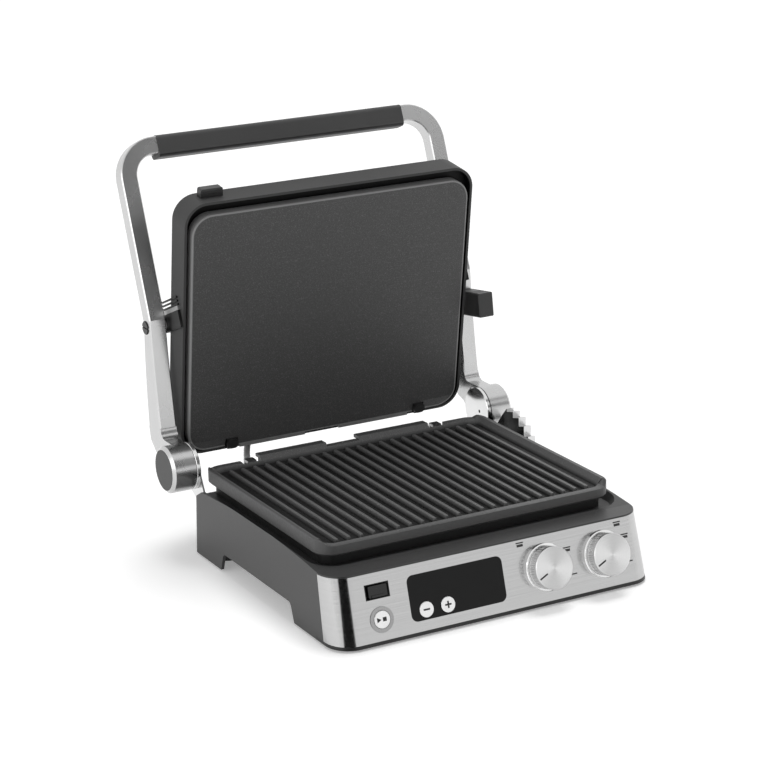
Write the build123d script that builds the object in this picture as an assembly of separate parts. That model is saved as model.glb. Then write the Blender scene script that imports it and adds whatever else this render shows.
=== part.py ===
from build123d import *

import os
from math import atan2, cos, radians, sin, tan

# Contact grill with a hinged lid on two cast arms. Millimetres, +Z up, X to the right and +Y
# towards the hinge. The origin is the middle of the base's footprint, on the table.

# ---- Base ---------------------------------------------------------------------------------
BASE_HALF_WIDTH = 159.0
BASE_DRAFT = 2.0  # each side is this much nearer the middle at deck height
BASE_FRONT_Y = -141.3
BASE_BACK_Y = 141.2
BASE_FRONT_R = 22.0
BASE_BACK_R = 8.0
BASE_WALL = 3.0
SKIRT_Z = 2.0
FACE_FOOT_Z = 3.5
FACE_TILT = 16.0
DECK_Z = 62.0
DECK_BACK_Y = -104.0
SIDE_PEAK_RISE = 6.0  # the side wall's crest above the deck
SIDE_SHOULDER_Y = 124.0
SIDE_SHOULDER_RISE = 1.0
REAR_CORNER_DROP = 9.0
LEG_FRONT_Y = -60.0
LEG_BACK_Y = 81.0
LEG_OPENING_Z = 18.5
LEG_SLOPE = 6.0
LEG_R = 5.0
SHELF_Z = 58.0  # what the lower plate sits on
SHELF_T = 2.5
SHELF_WIDTH = 10.0
WELL_SLOPE = 38.0
COVER_Z = 20.5
COVER_T = 2.5
FOOT_R = 10.0
FOOT_HEIGHT = 5.0
FOOT_X = 138.0
FOOT_FRONT_Y = -95.0
FOOT_BACK_Y = 112.0
POST_R = 5.5
POST_X = 124.0
POST_Y = (-70.0, 94.0)
BAY_HALF_WIDTH = 125.0
BAY_FLOOR_Z = 4.0
SCREW_R = 2.0
SCREW_HEAD_R = 4.0
SCREW_HEAD_H = 2.4

# ---- Front panel and controls, placed by x and by height v up the sloping face ---------------
PANEL_T = 1.0
PANEL_FOOT_Z = 5.0
PANEL_TOP_Z = 60.6
PANEL_WRAP_FOOT = 25.7  # how far the sheet runs back along the side, low and high
PANEL_WRAP_TOP = 38.0
DISPLAY_X = (-86.0, 7.5)
DISPLAY_V = (10.5, 50.3)
DISPLAY_R = 6.0
DISPLAY_T = 2.0
MINUS_X = -71.2
PLUS_X = -50.2
KEY_V = 19.2
KEY_R = 6.8
START_X = -114.0
START_V = 19.4
START_R = 7.6
START_RING_R = 11.1
BUTTON_PROUD = 0.9
BUTTON_DEPTH = 9.0
RELEASE_X = (-125.9, -103.0)
RELEASE_V = (37.2, 50.4)
BEZEL_W = 1.6
RELEASE_DEPTH = 18.0
KNOB_X = (50.0, 109.8)
KNOB_V = 31.3
KNOB_R = 18.7
KNOB_PROUD = 15.0
KNOB_GROOVES = 40
GROOVE_R = 0.75
FLANGE_R = 21.0
FLANGE_PROUD = 3.0
SHAFT_R = 3.0
POINTER_ANGLE = 205.0
POINTER_LENGTH = 9.0
POINTER_W = 1.5
THERMOSTAT_SIZE = 26.0
THERMOSTAT_DEPTH = 18.0

# ---- Plates -------------------------------------------------------------------------------
PLATE_HALF_WIDTH = 147.0
PLATE_FRONT_Y = -93.6
PLATE_BACK_Y = 143.0
PLATE_R = 18.0
PLATE_LIP_Z = 81.8
PLATE_FRONT_LIP_Z = 77.6
PLATE_BACK_LIP_Z = 78.6  # between and beside the two ledges
PLATE_FLOOR_Z = 74.5
PLATE_WAIST_Z = 68.0
PLATE_WAIST_INSET = 6.0
PLATE_LIP_W = 3.5
PLATE_LIP_SLOPE = 6.0
PLATE_SKIN = 4.0
RIB_COUNT = 22
RIB_PITCH = 12.0
RIB_W = 5.0
RIB_TOP_Z = 78.2
RIB_FRONT_Y = -82.5
RIB_BACK_Y = 126.5
LEDGES_X = ((-91.0, -20.3), (13.9, 91.2))
LEDGE_REACH = 5.0
CLIP_X = 98.7
CLIP_W = 9.0
CLIP_NOTCH_W = 18.5
CLIP_TOP_Z = 79.3
CLIP_DEPTH = 7.0
UPPER_PLATE_HALF_WIDTH = 143.2
UPPER_PLATE_HEIGHT = 234.0
UPPER_PLATE_R = 20.0
UPPER_PLATE_T = 10.0
UPPER_SPIGOT = 2.7  # the back of the plate that nests in the lid
UPPER_CLIP_PROUD = 3.0
UPPER_CLIP_SHIFT = 3.2  # the right clip is this much further out than the left
UPPER_NOSE_W = 11.5
UPPER_NOSE_V = (-1.0, 7.8)
UPPER_NOSE_R = 4.0
UPPER_NOTCH_W = 12.5
BEVEL_V = 10.0
BEVEL_DROP = 2.4

# ---- Hinge, arms and lid --------------------------------------------------------------------
HINGE_Y = 153.0
HINGE_Z = 80.0
BARREL_R = 22.0
BARREL_SHOULDER = 2.6
BARREL_END_X = BASE_HALF_WIDTH + 21.0
BRACKET_X = (BASE_HALF_WIDTH - 6.4, BASE_HALF_WIDTH - 2.5)
BRACKET_TAIL_T = 1.7
BRACKET_END_T = 2.0  # wall left at the inner end of the hollow shaft
HINGE_SHAFT_R = 10.0
SHAFT_END_X = BASE_HALF_WIDTH + 14.0
HUB_WALL_X = BASE_HALF_WIDTH + 11.0
CAP_R = 18.8
CAP_T = 3.2
NUT_R = 15.0
ARM_X = (BASE_HALF_WIDTH - 4.5, BASE_HALF_WIDTH + 11.5)
ARM_DEPTH = 15.5
ARM_EDGE = 1.0
BEND_Y = 191.6
BEND_Z = 210.6
ARM_LEAN = 21.3
ARM_RISE = 168.0  # from the bend to the top of the bow, along the arm
BOW_R = 37.0
CRANK_Y = 178.6  # where the leg's front face rolls forward towards the barrel
CRANK_R = 8.8
ARM_FOOT_DEPTH = 26.0
GRIP_HALF_LENGTH = BASE_HALF_WIDTH - 30.0
GRIP_HEIGHT = 21.0
GRIP_DEPTH = 20.0
PIVOT_Y = 201.2
PIVOT_Z = 202.1
PIVOT_R = 5.0
PIVOT_BOSS_R = 8.0
PIVOT_DEEP_X = 132.0  # inner end of the pivot shafts, inside the lid's bosses
PIVOT_RECESS = 1.5  # depth of the seat for the slotted head in the arm's side
LID_Y = 179.4  # foot of the upper plate's cooking face
LID_Z = 80.9
LID_LEAN = 7.88
LID_HALF_WIDTH = 149.4
LID_FOOT_V = -3.0
LID_TOP_V = 245.0
LID_R = 22.0
LID_FRONT = -3.0  # depths are measured from the cooking face, negative behind it
LID_SIDE = -30.0
LID_BACK = -40.0
LID_CROWN = 15.0
LID_WALL = 2.5
LID_SHELF = -13.0
COVER_SHEET_T = 1.0
COVER_SHEET_INSET = 22.0
TAB_X = (-128.0, -106.0)
TAB_TOP_V = 253.0
TAB_DEPTH = (-24.0, -16.0)
TAB_LENGTH = 19.0
BRACKET_START = (136.0, -6.0)
BRACKET_H = 16.0
BRACKET_T = 2.6
STRIP_H = 3.9
SIDE_RIB_PITCH = 3.4
SIDE_RIB_H = 1.7
STOP_AXIS_TILT = 8.0
STOP_CENTRE = (BASE_HALF_WIDTH + 4.0, 168.5, 182.5)
STOP_SIZE = (16.0, 37.0, 23.5)
STOP_SHANK_R = 4.0
STOP_SHANK_LENGTH = 16.0

# ---- Toothed stop plate ---------------------------------------------------------------------
QUADRANT_X = (BASE_HALF_WIDTH + 3.0, BASE_HALF_WIDTH + 11.0)
QUADRANT_CENTRE = (108.0, 50.0)
QUADRANT_R = 41.0
QUADRANT_TEETH = 5
QUADRANT_FIRST = 84.0
QUADRANT_PITCH = 15.5
QUADRANT_TREAD = 15.0
QUADRANT_SCREW_Y = (98.0, 120.0)
QUADRANT_SCREW_Z = 54.0

# ---- Heating and electrical pieces ----------------------------------------------------------
ELEMENT_R = 3.5
ELEMENT_BEND_R = 18.0
TRAY_T = 0.8
TRAY_Z = 46.0
BOARD_T = 1.6
SLEEVE_BASE = (-85.0, 44.0)  # x and z where the sleeve leaves the base
SLEEVE_NEAR = (-72.4, -17.0)  # x and v of its bend below the lid
SLEEVE_LID = (-63.0, -1.2)  # x and v of its end inside the lid's foot
SLEEVE_DEPTH = -26.0
SLEEVE_R = 3.2
SLEEVE_BEND_R = 10.0
INLET_X = 60.0
INLET_Z = 36.0
INLET_R = 8.0

# ---- Clearances -----------------------------------------------------------------------------
RUNNING = 0.05  # radial, for shafts and pins
SLIDE_GAP = 0.3  # between faces that move past each other
FIT_GAP = 0.1  # between pieces that are fastened together

LID_SIN = sin(radians(LID_LEAN))
LID_COS = cos(radians(LID_LEAN))
FACE = Plane(
    origin=(0, BASE_FRONT_Y, FACE_FOOT_Z),
    x_dir=(1, 0, 0),
    z_dir=(0, -cos(radians(FACE_TILT)), sin(radians(FACE_TILT))),
)
LID = Plane(origin=(0, LID_Y, LID_Z), x_dir=(1, 0, 0), z_dir=(0, -LID_COS, -LID_SIN))
ARM_PLANE = Plane(
    origin=(0, BEND_Y, BEND_Z),
    x_dir=(1, 0, 0),
    z_dir=(0, -cos(radians(ARM_LEAN)), sin(radians(ARM_LEAN))),
)
WELL_HALF_WIDTH = PLATE_HALF_WIDTH + 2.5
WELL_FRONT_Y = PLATE_FRONT_Y - 3.5
CAVITY_HALF_WIDTH = PLATE_HALF_WIDTH - PLATE_WAIST_INSET - SHELF_WIDTH + 2.0
CAVITY_Y = (PLATE_FRONT_Y + PLATE_WAIST_INSET + 8.0, PLATE_BACK_Y - PLATE_WAIST_INSET - 14.0)
BAY_BACK_Y = PLATE_FRONT_Y - 16.0
CRANK_Z = HINGE_Z + BARREL_R + CRANK_R


# ---- Building blocks ------------------------------------------------------------------------
def block(x, y, z):
    """Box between (low, high) limits on each axis."""
    middle = [(low + high) / 2 for low, high in (x, y, z)]
    size = [high - low for low, high in (x, y, z)]
    return Pos(*middle) * Box(*size)


def rod(radius, start, end):
    """Cylinder between two points."""
    axis = Vector(*end) - Vector(*start)
    return Plane(origin=start, z_dir=axis).location * extrude(Circle(radius), axis.length)


def rod_x(radius, x, y, z):
    """Cylinder along X between the two values of x."""
    return rod(radius, (x[0], y, z), (x[1], y, z))


def prism_x(outline, x):
    """Closed outline of (y, z) points, extruded along X."""
    face = make_face(Polyline(*outline, close=True))
    return Plane.YZ.offset(x[0]).location * extrude(face, x[1] - x[0])


def slab(half_width, y, z, radius, taper=0.0):
    """Rounded rectangle centred on x = 0, extruded upwards."""
    sketch = RectangleRounded(2 * half_width, y[1] - y[0], radius)
    return Pos(0, (y[0] + y[1]) / 2, z[0]) * extrude(sketch, z[1] - z[0], taper=taper)


def on_plane(plane, sketch, depth):
    """Sketch in a plane's own axes, extruded between two depths along its normal."""
    return plane.location * Pos(0, 0, depth[0]) * extrude(sketch, depth[1] - depth[0])


def patch(x, v, radius=0.0):
    """Rectangle between limits in a plane's own axes, with rounded corners if wanted."""
    size = (x[1] - x[0], v[1] - v[0])
    shape = RectangleRounded(*size, radius) if radius else Rectangle(*size)
    return Pos((x[0] + x[1]) / 2, (v[0] + v[1]) / 2) * shape


def disc(x, v, radius):
    """Circle in a plane's own axes."""
    return Pos(x, v) * Circle(radius)


def both(shape):
    """A piece and its mirror image across the middle of the grill."""
    return Compound(children=[shape, mirror(shape, about=Plane.YZ)])


def group(shapes):
    """Several like pieces in one node."""
    return Compound(children=[solid for shape in shapes for solid in shape.solids()])


def grown(limits, amount):
    """Limits moved apart by the same amount at each end."""
    return (limits[0] - amount, limits[1] + amount)


def upright_edges(shape):
    """Edges that run mostly upwards."""
    return [e for e in shape.edges() if abs((e @ 1 - e @ 0).normalized().Z) > 0.9]


def screw(head, direction, length, radius=SCREW_R, head_radius=SCREW_HEAD_R):
    """Screw whose head's underside is at a point, with its shank along a direction."""
    way = Vector(*direction).normalized()
    seat = Vector(*head)
    cap = rod(head_radius, tuple(seat - way * SCREW_HEAD_H), tuple(seat))
    shank = rod(radius, tuple(seat), tuple(seat + way * length))
    frame = Plane(origin=tuple(seat - way * SCREW_HEAD_H), z_dir=way)
    slot = frame.location * Box(3 * head_radius, 0.9, 1.6)
    return cap + shank - slot


# ---- Base -----------------------------------------------------------------------------------
def base_form(inset, foot_z):
    """Outer form of the base moved inwards on the front, sides, back and top."""
    lean = tan(radians(FACE_TILT))
    shift = inset / cos(radians(FACE_TILT))
    front_y = BASE_FRONT_Y + shift
    foot = (front_y + (foot_z - FACE_FOOT_Z) * lean, foot_z)
    top_z = DECK_Z - inset
    brow = (front_y + (top_z - FACE_FOOT_Z) * lean, top_z)
    deck = (DECK_BACK_Y, top_z)
    crest = ((DECK_BACK_Y + SIDE_SHOULDER_Y) / 2, top_z + SIDE_PEAK_RISE)
    shoulder = (SIDE_SHOULDER_Y, top_z + SIDE_SHOULDER_RISE)
    rear = (BASE_BACK_Y - inset, top_z - REAR_CORNER_DROP)
    heel = (BASE_BACK_Y - inset, foot_z)
    side = make_face(
        [
            *Polyline(heel, foot, brow, deck).edges(),
            ThreePointArc(deck, crest, shoulder),
            *Polyline(shoulder, rear, heel).edges(),
        ]
    )
    length = 2 * BASE_HALF_WIDTH + 20
    long_form = Plane.YZ.offset(-length / 2).location * extrude(side, length)
    slope = BASE_DRAFT / DECK_Z
    low = BASE_HALF_WIDTH - inset - foot_z * slope
    high = BASE_HALF_WIDTH - inset - 2 * DECK_Z * slope
    front = make_face(
        Polyline((-low, foot_z), (low, foot_z), (high, 2 * DECK_Z), (-high, 2 * DECK_Z), close=True)
    )
    depth = 2 * (BASE_BACK_Y - BASE_FRONT_Y)
    form = long_form & Plane.XZ.offset(-depth / 2).location * extrude(front, depth)
    edges = upright_edges(form)
    form = fillet([e for e in edges if (e @ 0.5).Y < 0], BASE_FRONT_R - inset)
    edges = [e for e in upright_edges(form) if (e @ 0.5).Y > BASE_BACK_Y - inset - 1]
    return fillet(edges, max(BASE_BACK_R - inset, 1.0))


def panel_region():
    """Where the steel front sheet covers the base."""
    reach = BASE_FRONT_Y - 30
    return prism_x(
        [
            (reach, PANEL_FOOT_Z),
            (BASE_FRONT_Y + PANEL_WRAP_FOOT, PANEL_FOOT_Z),
            (BASE_FRONT_Y + PANEL_WRAP_TOP, PANEL_TOP_Z),
            (reach, PANEL_TOP_Z),
        ],
        (-BASE_HALF_WIDTH - 5, BASE_HALF_WIDTH + 5),
    )


def leg_opening():
    """Arch between the front and rear legs, right through the base."""
    arch = Polyline(
        (LEG_FRONT_Y - LEG_SLOPE / 2, -1),
        (LEG_FRONT_Y + LEG_SLOPE, LEG_OPENING_Z),
        (LEG_BACK_Y - LEG_SLOPE / 2, LEG_OPENING_Z),
        (LEG_BACK_Y + LEG_SLOPE / 2, -1),
        close=True,
    )
    face = make_face(arch)
    crown = [v for v in face.vertices() if v.Y > 0]
    face = fillet(crown, LEG_R)
    reach = BASE_HALF_WIDTH + 5
    return Plane.YZ.offset(-reach).location * extrude(face, 2 * reach)


def control_holes(depth, gap):
    """Openings in the front for the display, keys, knobs and release button."""
    sketches = [
        patch(grown(RELEASE_X, gap), grown(RELEASE_V, gap)),
        disc(START_X, START_V, START_RING_R + gap),
    ]
    sketches += [disc(x, KNOB_V, SHAFT_R + 2.0) for x in KNOB_X]
    return [on_plane(FACE, sketch, depth) for sketch in sketches]


def post_points():
    """Where the bottom cover is screwed to the base."""
    return [(x, y) for x in (-POST_X, POST_X) for y in POST_Y]


def well(z, margin=0.0):
    """Space that the lower plate drops into, with sloping sides."""
    y = (WELL_FRONT_Y - margin, PLATE_BACK_Y + 40.0)
    return slab(WELL_HALF_WIDTH + margin, y, z, PLATE_R + 2 + margin, taper=-WELL_SLOPE)


def base_housing(outer, inner, sheet):
    """Moulded body of the base: skirt, deck, plate well and inner posts."""
    shelf_under = SHELF_Z - SHELF_T
    body = outer - inner
    frame = slab(
        WELL_HALF_WIDTH + 3.5,
        (WELL_FRONT_Y - 3.5, BASE_BACK_Y + 20),
        (shelf_under, DECK_Z + SIDE_PEAK_RISE + 2),
        PLATE_R + 4,
    )
    body += frame & outer
    body -= well((SHELF_Z, SHELF_Z + 20))
    cavity = slab(CAVITY_HALF_WIDTH, CAVITY_Y, (shelf_under - 1, SHELF_Z + 1), PLATE_R)
    body -= cavity
    body -= leg_opening()
    body -= sheet
    for x, y in post_points():
        body += Pos(x, y, 0) * extrude_between(Circle(POST_R), COVER_Z + COVER_T, shelf_under)
        body -= Pos(x, y, 0) * extrude_between(Circle(SCREW_R), COVER_Z, COVER_Z + 16)
    for x in (DISPLAY_X[0] + 2, DISPLAY_X[1] - 2):
        for v in (DISPLAY_V[0] + 0.5, DISPLAY_V[1] - 0.5):
            body += on_plane(FACE, disc(x, v, 3.0), (-BUTTON_DEPTH - 3.0, -BASE_WALL + 0.5))
    body -= on_plane(FACE, patch(DISPLAY_X, DISPLAY_V, DISPLAY_R), (-DISPLAY_T, 2.0))
    body -= on_plane(
        FACE, patch(grown(DISPLAY_X, -7.0), grown(DISPLAY_V, -6.0), 2.0), (-BASE_WALL - 1, 1.0)
    )
    for x in (MINUS_X, PLUS_X):
        body -= on_plane(FACE, disc(x, KEY_V, KEY_R + SLIDE_GAP), (-BASE_WALL - 1, 1.0))
    for hole in control_holes((-BASE_WALL - 2, 2.0), FIT_GAP):
        body -= hole
    body -= both(hinge_tail(BRACKET_TAIL_T + 0.2, FIT_GAP))
    for piece in hinge_screws().solids() + quadrant_screws().solids():
        body -= piece
    sleeve_x, sleeve_z = SLEEVE_BASE
    start = (sleeve_x, BASE_BACK_Y - 10, sleeve_z)
    body -= rod(SLEEVE_R + FIT_GAP, start, (sleeve_x, BASE_BACK_Y + 10, sleeve_z))
    inlet = (INLET_X, BASE_BACK_Y - 10, INLET_Z)
    body -= rod(INLET_R - 2, inlet, (INLET_X, BASE_BACK_Y + 10, INLET_Z))
    return largest(body)


def extrude_between(sketch, low, high):
    """Sketch in the XY plane, extruded between two heights."""
    return Pos(0, 0, low) * extrude(sketch, high - low)


def largest(shape):
    """Main solid of a shape, without crumbs left by cuts."""
    return sorted(shape.solids(), key=lambda solid: solid.volume)[-1]


def bottom_cover():
    """Floor of the base with vents, foot posts and board stand-offs."""
    cover = base_form(BASE_WALL + SLIDE_GAP, -20) & block(
        (-200, 200), (-200, 200), (COVER_Z, COVER_Z + COVER_T)
    )
    cover -= block((-BAY_HALF_WIDTH, BAY_HALF_WIDTH), (-200, BAY_BACK_Y - COVER_T), (0, 50))
    cover += bay_floor()
    for x, y in foot_points():
        cover += Pos(x, y, 0) * extrude_between(Circle(FOOT_R + 2.5), FOOT_HEIGHT - 2, COVER_Z + 1)
        cover -= Pos(x, y, 0) * extrude_between(Circle(FOOT_R + FIT_GAP), 0, FOOT_HEIGHT)
    for x, y in post_points():
        cover -= Pos(x, y, 0) * extrude_between(Circle(SCREW_R + 0.3), 0, 40)
    for row in range(-4, 5):
        for side in (-1, 1):
            vent = Pos(side * 62, 40 + row * 9, 0) * SlotOverall(70, 3.2)
            cover -= extrude_between(vent, COVER_Z - 1, COVER_Z + COVER_T + 1)
    for x in board_x():
        for y in board_y():
            cover += Pos(x, y, 0) * extrude_between(Circle(3), COVER_Z + 1, COVER_Z + COVER_T + 5)
    return cover


def bay_floor():
    """Lower floor under the controls, with its back and side walls."""
    x = (-BAY_HALF_WIDTH - COVER_T, BAY_HALF_WIDTH + COVER_T)
    bay = block(x, (-200, BAY_BACK_Y), (BAY_FLOOR_Z, COVER_Z + COVER_T))
    room = block(grown(x, -COVER_T), (-210, BAY_BACK_Y - COVER_T), (BAY_FLOOR_Z + 2, 50))
    return (bay - room) & base_form(BASE_WALL + SLIDE_GAP, -20)


def foot_points():
    """Plan positions of the four feet."""
    return [(x, y) for x in (-FOOT_X, FOOT_X) for y in (FOOT_FRONT_Y, FOOT_BACK_Y)]


def feet():
    """Rubber feet pressed into the leg posts."""
    foot = extrude_between(Circle(FOOT_R), 0, FOOT_HEIGHT)
    foot = chamfer(foot.edges().group_by(Axis.Z)[0], 0.8)
    return group(Pos(x, y, 0) * foot for x, y in foot_points())


def bottom_screws():
    """Screws that hold the bottom cover."""
    return group(screw((x, y, COVER_Z), (0, 0, 1), 14) for x, y in post_points())


def front_panel(sheet):
    """Steel sheet wrapped round the front of the base."""
    panel = sheet - on_plane(FACE, patch(DISPLAY_X, DISPLAY_V, DISPLAY_R), (-5, 2))
    for hole in control_holes((-5, 2), FIT_GAP):
        panel -= hole
    return largest(panel)


def display_window():
    """Dark glass of the display, flush with the steel, with the two key holes."""
    window = on_plane(
        FACE,
        patch(grown(DISPLAY_X, -FIT_GAP), grown(DISPLAY_V, -FIT_GAP), DISPLAY_R - FIT_GAP),
        (-DISPLAY_T, 0.0),
    )
    for x in (MINUS_X, PLUS_X):
        window -= on_plane(FACE, disc(x, KEY_V, KEY_R + SLIDE_GAP), (-5, 2))
    return window


def display_module():
    """Printed board behind the window, with the display glass stack and two switches."""
    face = -BUTTON_DEPTH - 3.0
    board = on_plane(
        FACE, patch(grown(DISPLAY_X, 2.0), grown(DISPLAY_V, 3.0), 2.0), (face - BOARD_T, face)
    )
    glass = patch((DISPLAY_X[0] + 10, DISPLAY_X[1] - 10), (DISPLAY_V[0] + 20, DISPLAY_V[1] - 7), 1.0)
    board += on_plane(FACE, glass, (face, -DISPLAY_T - 1.5))
    for x in (MINUS_X, PLUS_X):
        board += on_plane(FACE, disc(x, KEY_V, 3.4), (face, -BUTTON_DEPTH - 1.6))
    return board


def key_button(x, v, radius):
    """Round push button with a stem that runs back to its switch."""
    cap = on_plane(FACE, disc(x, v, radius), (-PANEL_T - 0.6, BUTTON_PROUD))
    cap = fillet(cap.edges().sort_by(Axis((0, 0, 0), (0, -1, 0.28)))[-1:], 0.5)
    return cap + on_plane(FACE, disc(x, v, 2.6), (-BUTTON_DEPTH, -PANEL_T))


def start_ring():
    """Metal ring round the start button."""
    ring = on_plane(FACE, disc(START_X, START_V, START_RING_R), (-BASE_WALL, 0.5))
    ring -= on_plane(FACE, disc(START_X, START_V, START_R + SLIDE_GAP), (-5, 2))
    return ring


def release_bezel():
    """Frame round the release button with a bevelled mouth."""
    bezel = on_plane(FACE, patch(RELEASE_X, RELEASE_V), (-BASE_WALL - 3, 0.25))
    mouth = loft(
        [
            FACE.location * Pos(0, 0, -1.6) * patch(*release_opening(SLIDE_GAP)),
            FACE.location * Pos(0, 0, 0.3) * patch(grown(RELEASE_X, -0.5), grown(RELEASE_V, -0.5)),
        ]
    )
    bore = on_plane(FACE, patch(*release_opening(SLIDE_GAP)), (-20, 0.1))
    return bezel - mouth - bore


def release_opening(gap):
    """Limits of the release button's shaft, with a gap all round."""
    return grown(RELEASE_X, gap - BEZEL_W - 1.0), grown(RELEASE_V, gap - BEZEL_W)


def lower_release():
    """Push button that frees the lower plate, with its push rod."""
    x, v = release_opening(0.0)
    body = on_plane(FACE, patch(x, v, 1.2), (-7.0, 1.2))
    lower = (v[0], v[0] + 2.0)
    body += on_plane(FACE, patch(grown(x, -2.5), lower, 0.5), (0.5, 1.8))
    middle = ((x[0] + x[1]) / 2, (v[0] + v[1]) / 2)
    stem = patch((middle[0] - 5, middle[0] + 5), (middle[1] - 2, middle[1] + 2))
    return body + on_plane(FACE, stem, (-RELEASE_DEPTH, -6.5))


def knob_flanges():
    """Bright collars under the knobs."""
    rings = []
    for x in KNOB_X:
        ring = on_plane(FACE, disc(x, KNOB_V, FLANGE_R), (0.0, FLANGE_PROUD))
        outer = ring.edges().filter_by(GeomType.CIRCLE).sort_by(Axis((0, 0, 0), (0, -1, 0.28)))[-1:]
        ring = chamfer(outer, 0.8)
        rings.append(ring - on_plane(FACE, disc(x, KNOB_V, SHAFT_R + 1.0), (-1, 5)))
    return group(rings)


def knob(x):
    """Fluted control knob with a stepped front and a groove for its pointer."""
    foot = FLANGE_PROUD + SLIDE_GAP
    body = extrude_between(Circle(KNOB_R), foot, KNOB_PROUD)
    body = chamfer(body.edges().filter_by(GeomType.CIRCLE).sort_by(Axis.Z)[-1:], 0.7)
    groove = extrude_between(Circle(GROOVE_R), foot + 1.2, KNOB_PROUD - 4.2)
    for turn in range(KNOB_GROOVES):
        angle = 360.0 / KNOB_GROOVES * turn
        body -= Rot(0, 0, angle) * Pos(KNOB_R, 0, 0) * groove
    body -= extrude_between(Circle(SHAFT_R + RUNNING), foot - 1, KNOB_PROUD - 3)
    body -= Rot(0, 0, POINTER_ANGLE) * pointer_form(0.6, 1.0)
    return FACE.location * Pos(x, KNOB_V, 0) * body


def pointer_form(depth, proud):
    """Bar from the knob's rim towards its middle, in the knob's own axes."""
    reach = (KNOB_R - 1.2 - POINTER_LENGTH, KNOB_R - 1.2)
    return block(reach, (-POINTER_W / 2, POINTER_W / 2), (KNOB_PROUD - depth, KNOB_PROUD + proud))


def knob_pointer(x):
    """Dark inlay in the knob's groove, level with its face."""
    return FACE.location * Pos(x, KNOB_V, 0) * Rot(0, 0, POINTER_ANGLE) * pointer_form(0.6, 0.0)


def thermostats():
    """Controls behind the panel, with the shafts that carry the knobs."""
    half = THERMOSTAT_SIZE / 2
    pieces = []
    for x in KNOB_X:
        can = patch((x - half, x + half), (KNOB_V - half, KNOB_V + half), 2.0)
        case = on_plane(FACE, can, (-BASE_WALL - THERMOSTAT_DEPTH, -BASE_WALL))
        pieces.append(case + on_plane(FACE, disc(x, KNOB_V, SHAFT_R), (-BASE_WALL - 1, 11.5)))
    return group(pieces)


def board_x():
    """Stand-off positions of the power board across the base."""
    return (-52.0, 52.0)


def board_y():
    """Stand-off positions of the power board along the base."""
    return (-84.0, -28.0)


def power_board():
    """Power board on its stand-offs, with a relay, a transformer and a terminal strip."""
    top = COVER_Z + COVER_T + 5 + BOARD_T
    x = grown(board_x(), 5.0)
    y = grown(board_y(), 5.0)
    board = block(x, y, (top - BOARD_T, top))
    board += block((-45, -20), (-75, -50), (top, top + 14))
    board += block((-8, 10), (-72, -52), (top, top + 11))
    board += block((20, 34), (-78, -50), (top, top + 11))
    board += block((-40, 40), (-40, -30), (top, top + 9))
    return board


def tray(half_width, y, depth, flange):
    """Open sheet tray with a flange, built upside up with its floor at z = 0."""
    outer = slab(half_width, y, (0, depth), PLATE_R - 2)
    inner = slab(half_width - TRAY_T, grown(y, -TRAY_T), (TRAY_T, depth + 1), PLATE_R - 3)
    rim = slab(half_width + flange, grown(y, flange), (depth - TRAY_T, depth), PLATE_R)
    rim -= slab(half_width - TRAY_T, grown(y, -TRAY_T), (depth - 2, depth + 1), PLATE_R - 3)
    return outer - inner + rim


def element_path(half_width, y):
    """Route of the heating rod: four parallel runs joined by round bends."""
    a, b, c = half_width, half_width * 0.62, half_width * 0.2
    return FilletPolyline(
        (-c, y[1]),
        (-c, y[0] + 45),
        (-b, y[0] + 45),
        (-b, y[1] - 12),
        (-a, y[1] - 12),
        (-a, y[0]),
        (a, y[0]),
        (a, y[1] - 12),
        (b, y[1] - 12),
        (b, y[0] + 45),
        (c, y[0] + 45),
        (c, y[1]),
        radius=ELEMENT_BEND_R,
    )


def element(half_width, y):
    """Sheathed heating rod with a ceramic sleeve on each end, centred on z = 0."""
    path = element_path(half_width, y)
    tube = sweep(Plane(origin=path @ 0, z_dir=path % 0).location * Circle(ELEMENT_R), path=path)
    for end in (path @ 0, path @ 1):
        tube += rod(ELEMENT_R + 1.2, (end.X, end.Y - 14, 0), (end.X, end.Y, 0))
    return tube


def lower_reflector():
    """Bright tray under the lower heating rod, hung from the plate shelf."""
    depth = SHELF_Z - SHELF_T - TRAY_Z
    y = grown(CAVITY_Y, -2.0)
    pan = Pos(0, 0, TRAY_Z) * tray(CAVITY_HALF_WIDTH - 2, y, depth, 6.0)
    for x, y_post in post_points():
        pan -= Pos(x, y_post, 0) * extrude_between(Circle(POST_R + 0.5), 0, 80)
    return pan


def lower_element():
    """Heating rod under the lower plate."""
    z = TRAY_Z + TRAY_T + ELEMENT_R + 1.3
    return Pos(0, 0, z) * element(PLATE_HALF_WIDTH - 47, (CAVITY_Y[0] + 22, CAVITY_Y[1] - 12))


def lower_clips():
    """Two sprung posts that locate the back of the lower plate."""
    y = (PLATE_BACK_Y - CLIP_DEPTH + SLIDE_GAP, PLATE_BACK_Y + 1.5)
    foot_y = (BASE_BACK_Y, BASE_BACK_Y + 2.2)
    pieces = []
    for x in (-CLIP_X, CLIP_X):
        wide = (x - CLIP_W / 2, x + CLIP_W / 2)
        post = block(wide, (y[1] - 1.6, y[1] + 0.6), (SHELF_Z - 22, CLIP_TOP_Z))
        post += block(wide, foot_y, (SHELF_Z - 22, SHELF_Z - 10))
        post += block(wide, (y[0], y[1]), (CLIP_TOP_Z - 2.6, CLIP_TOP_Z))
        pieces.append(post)
    return group(pieces)


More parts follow.
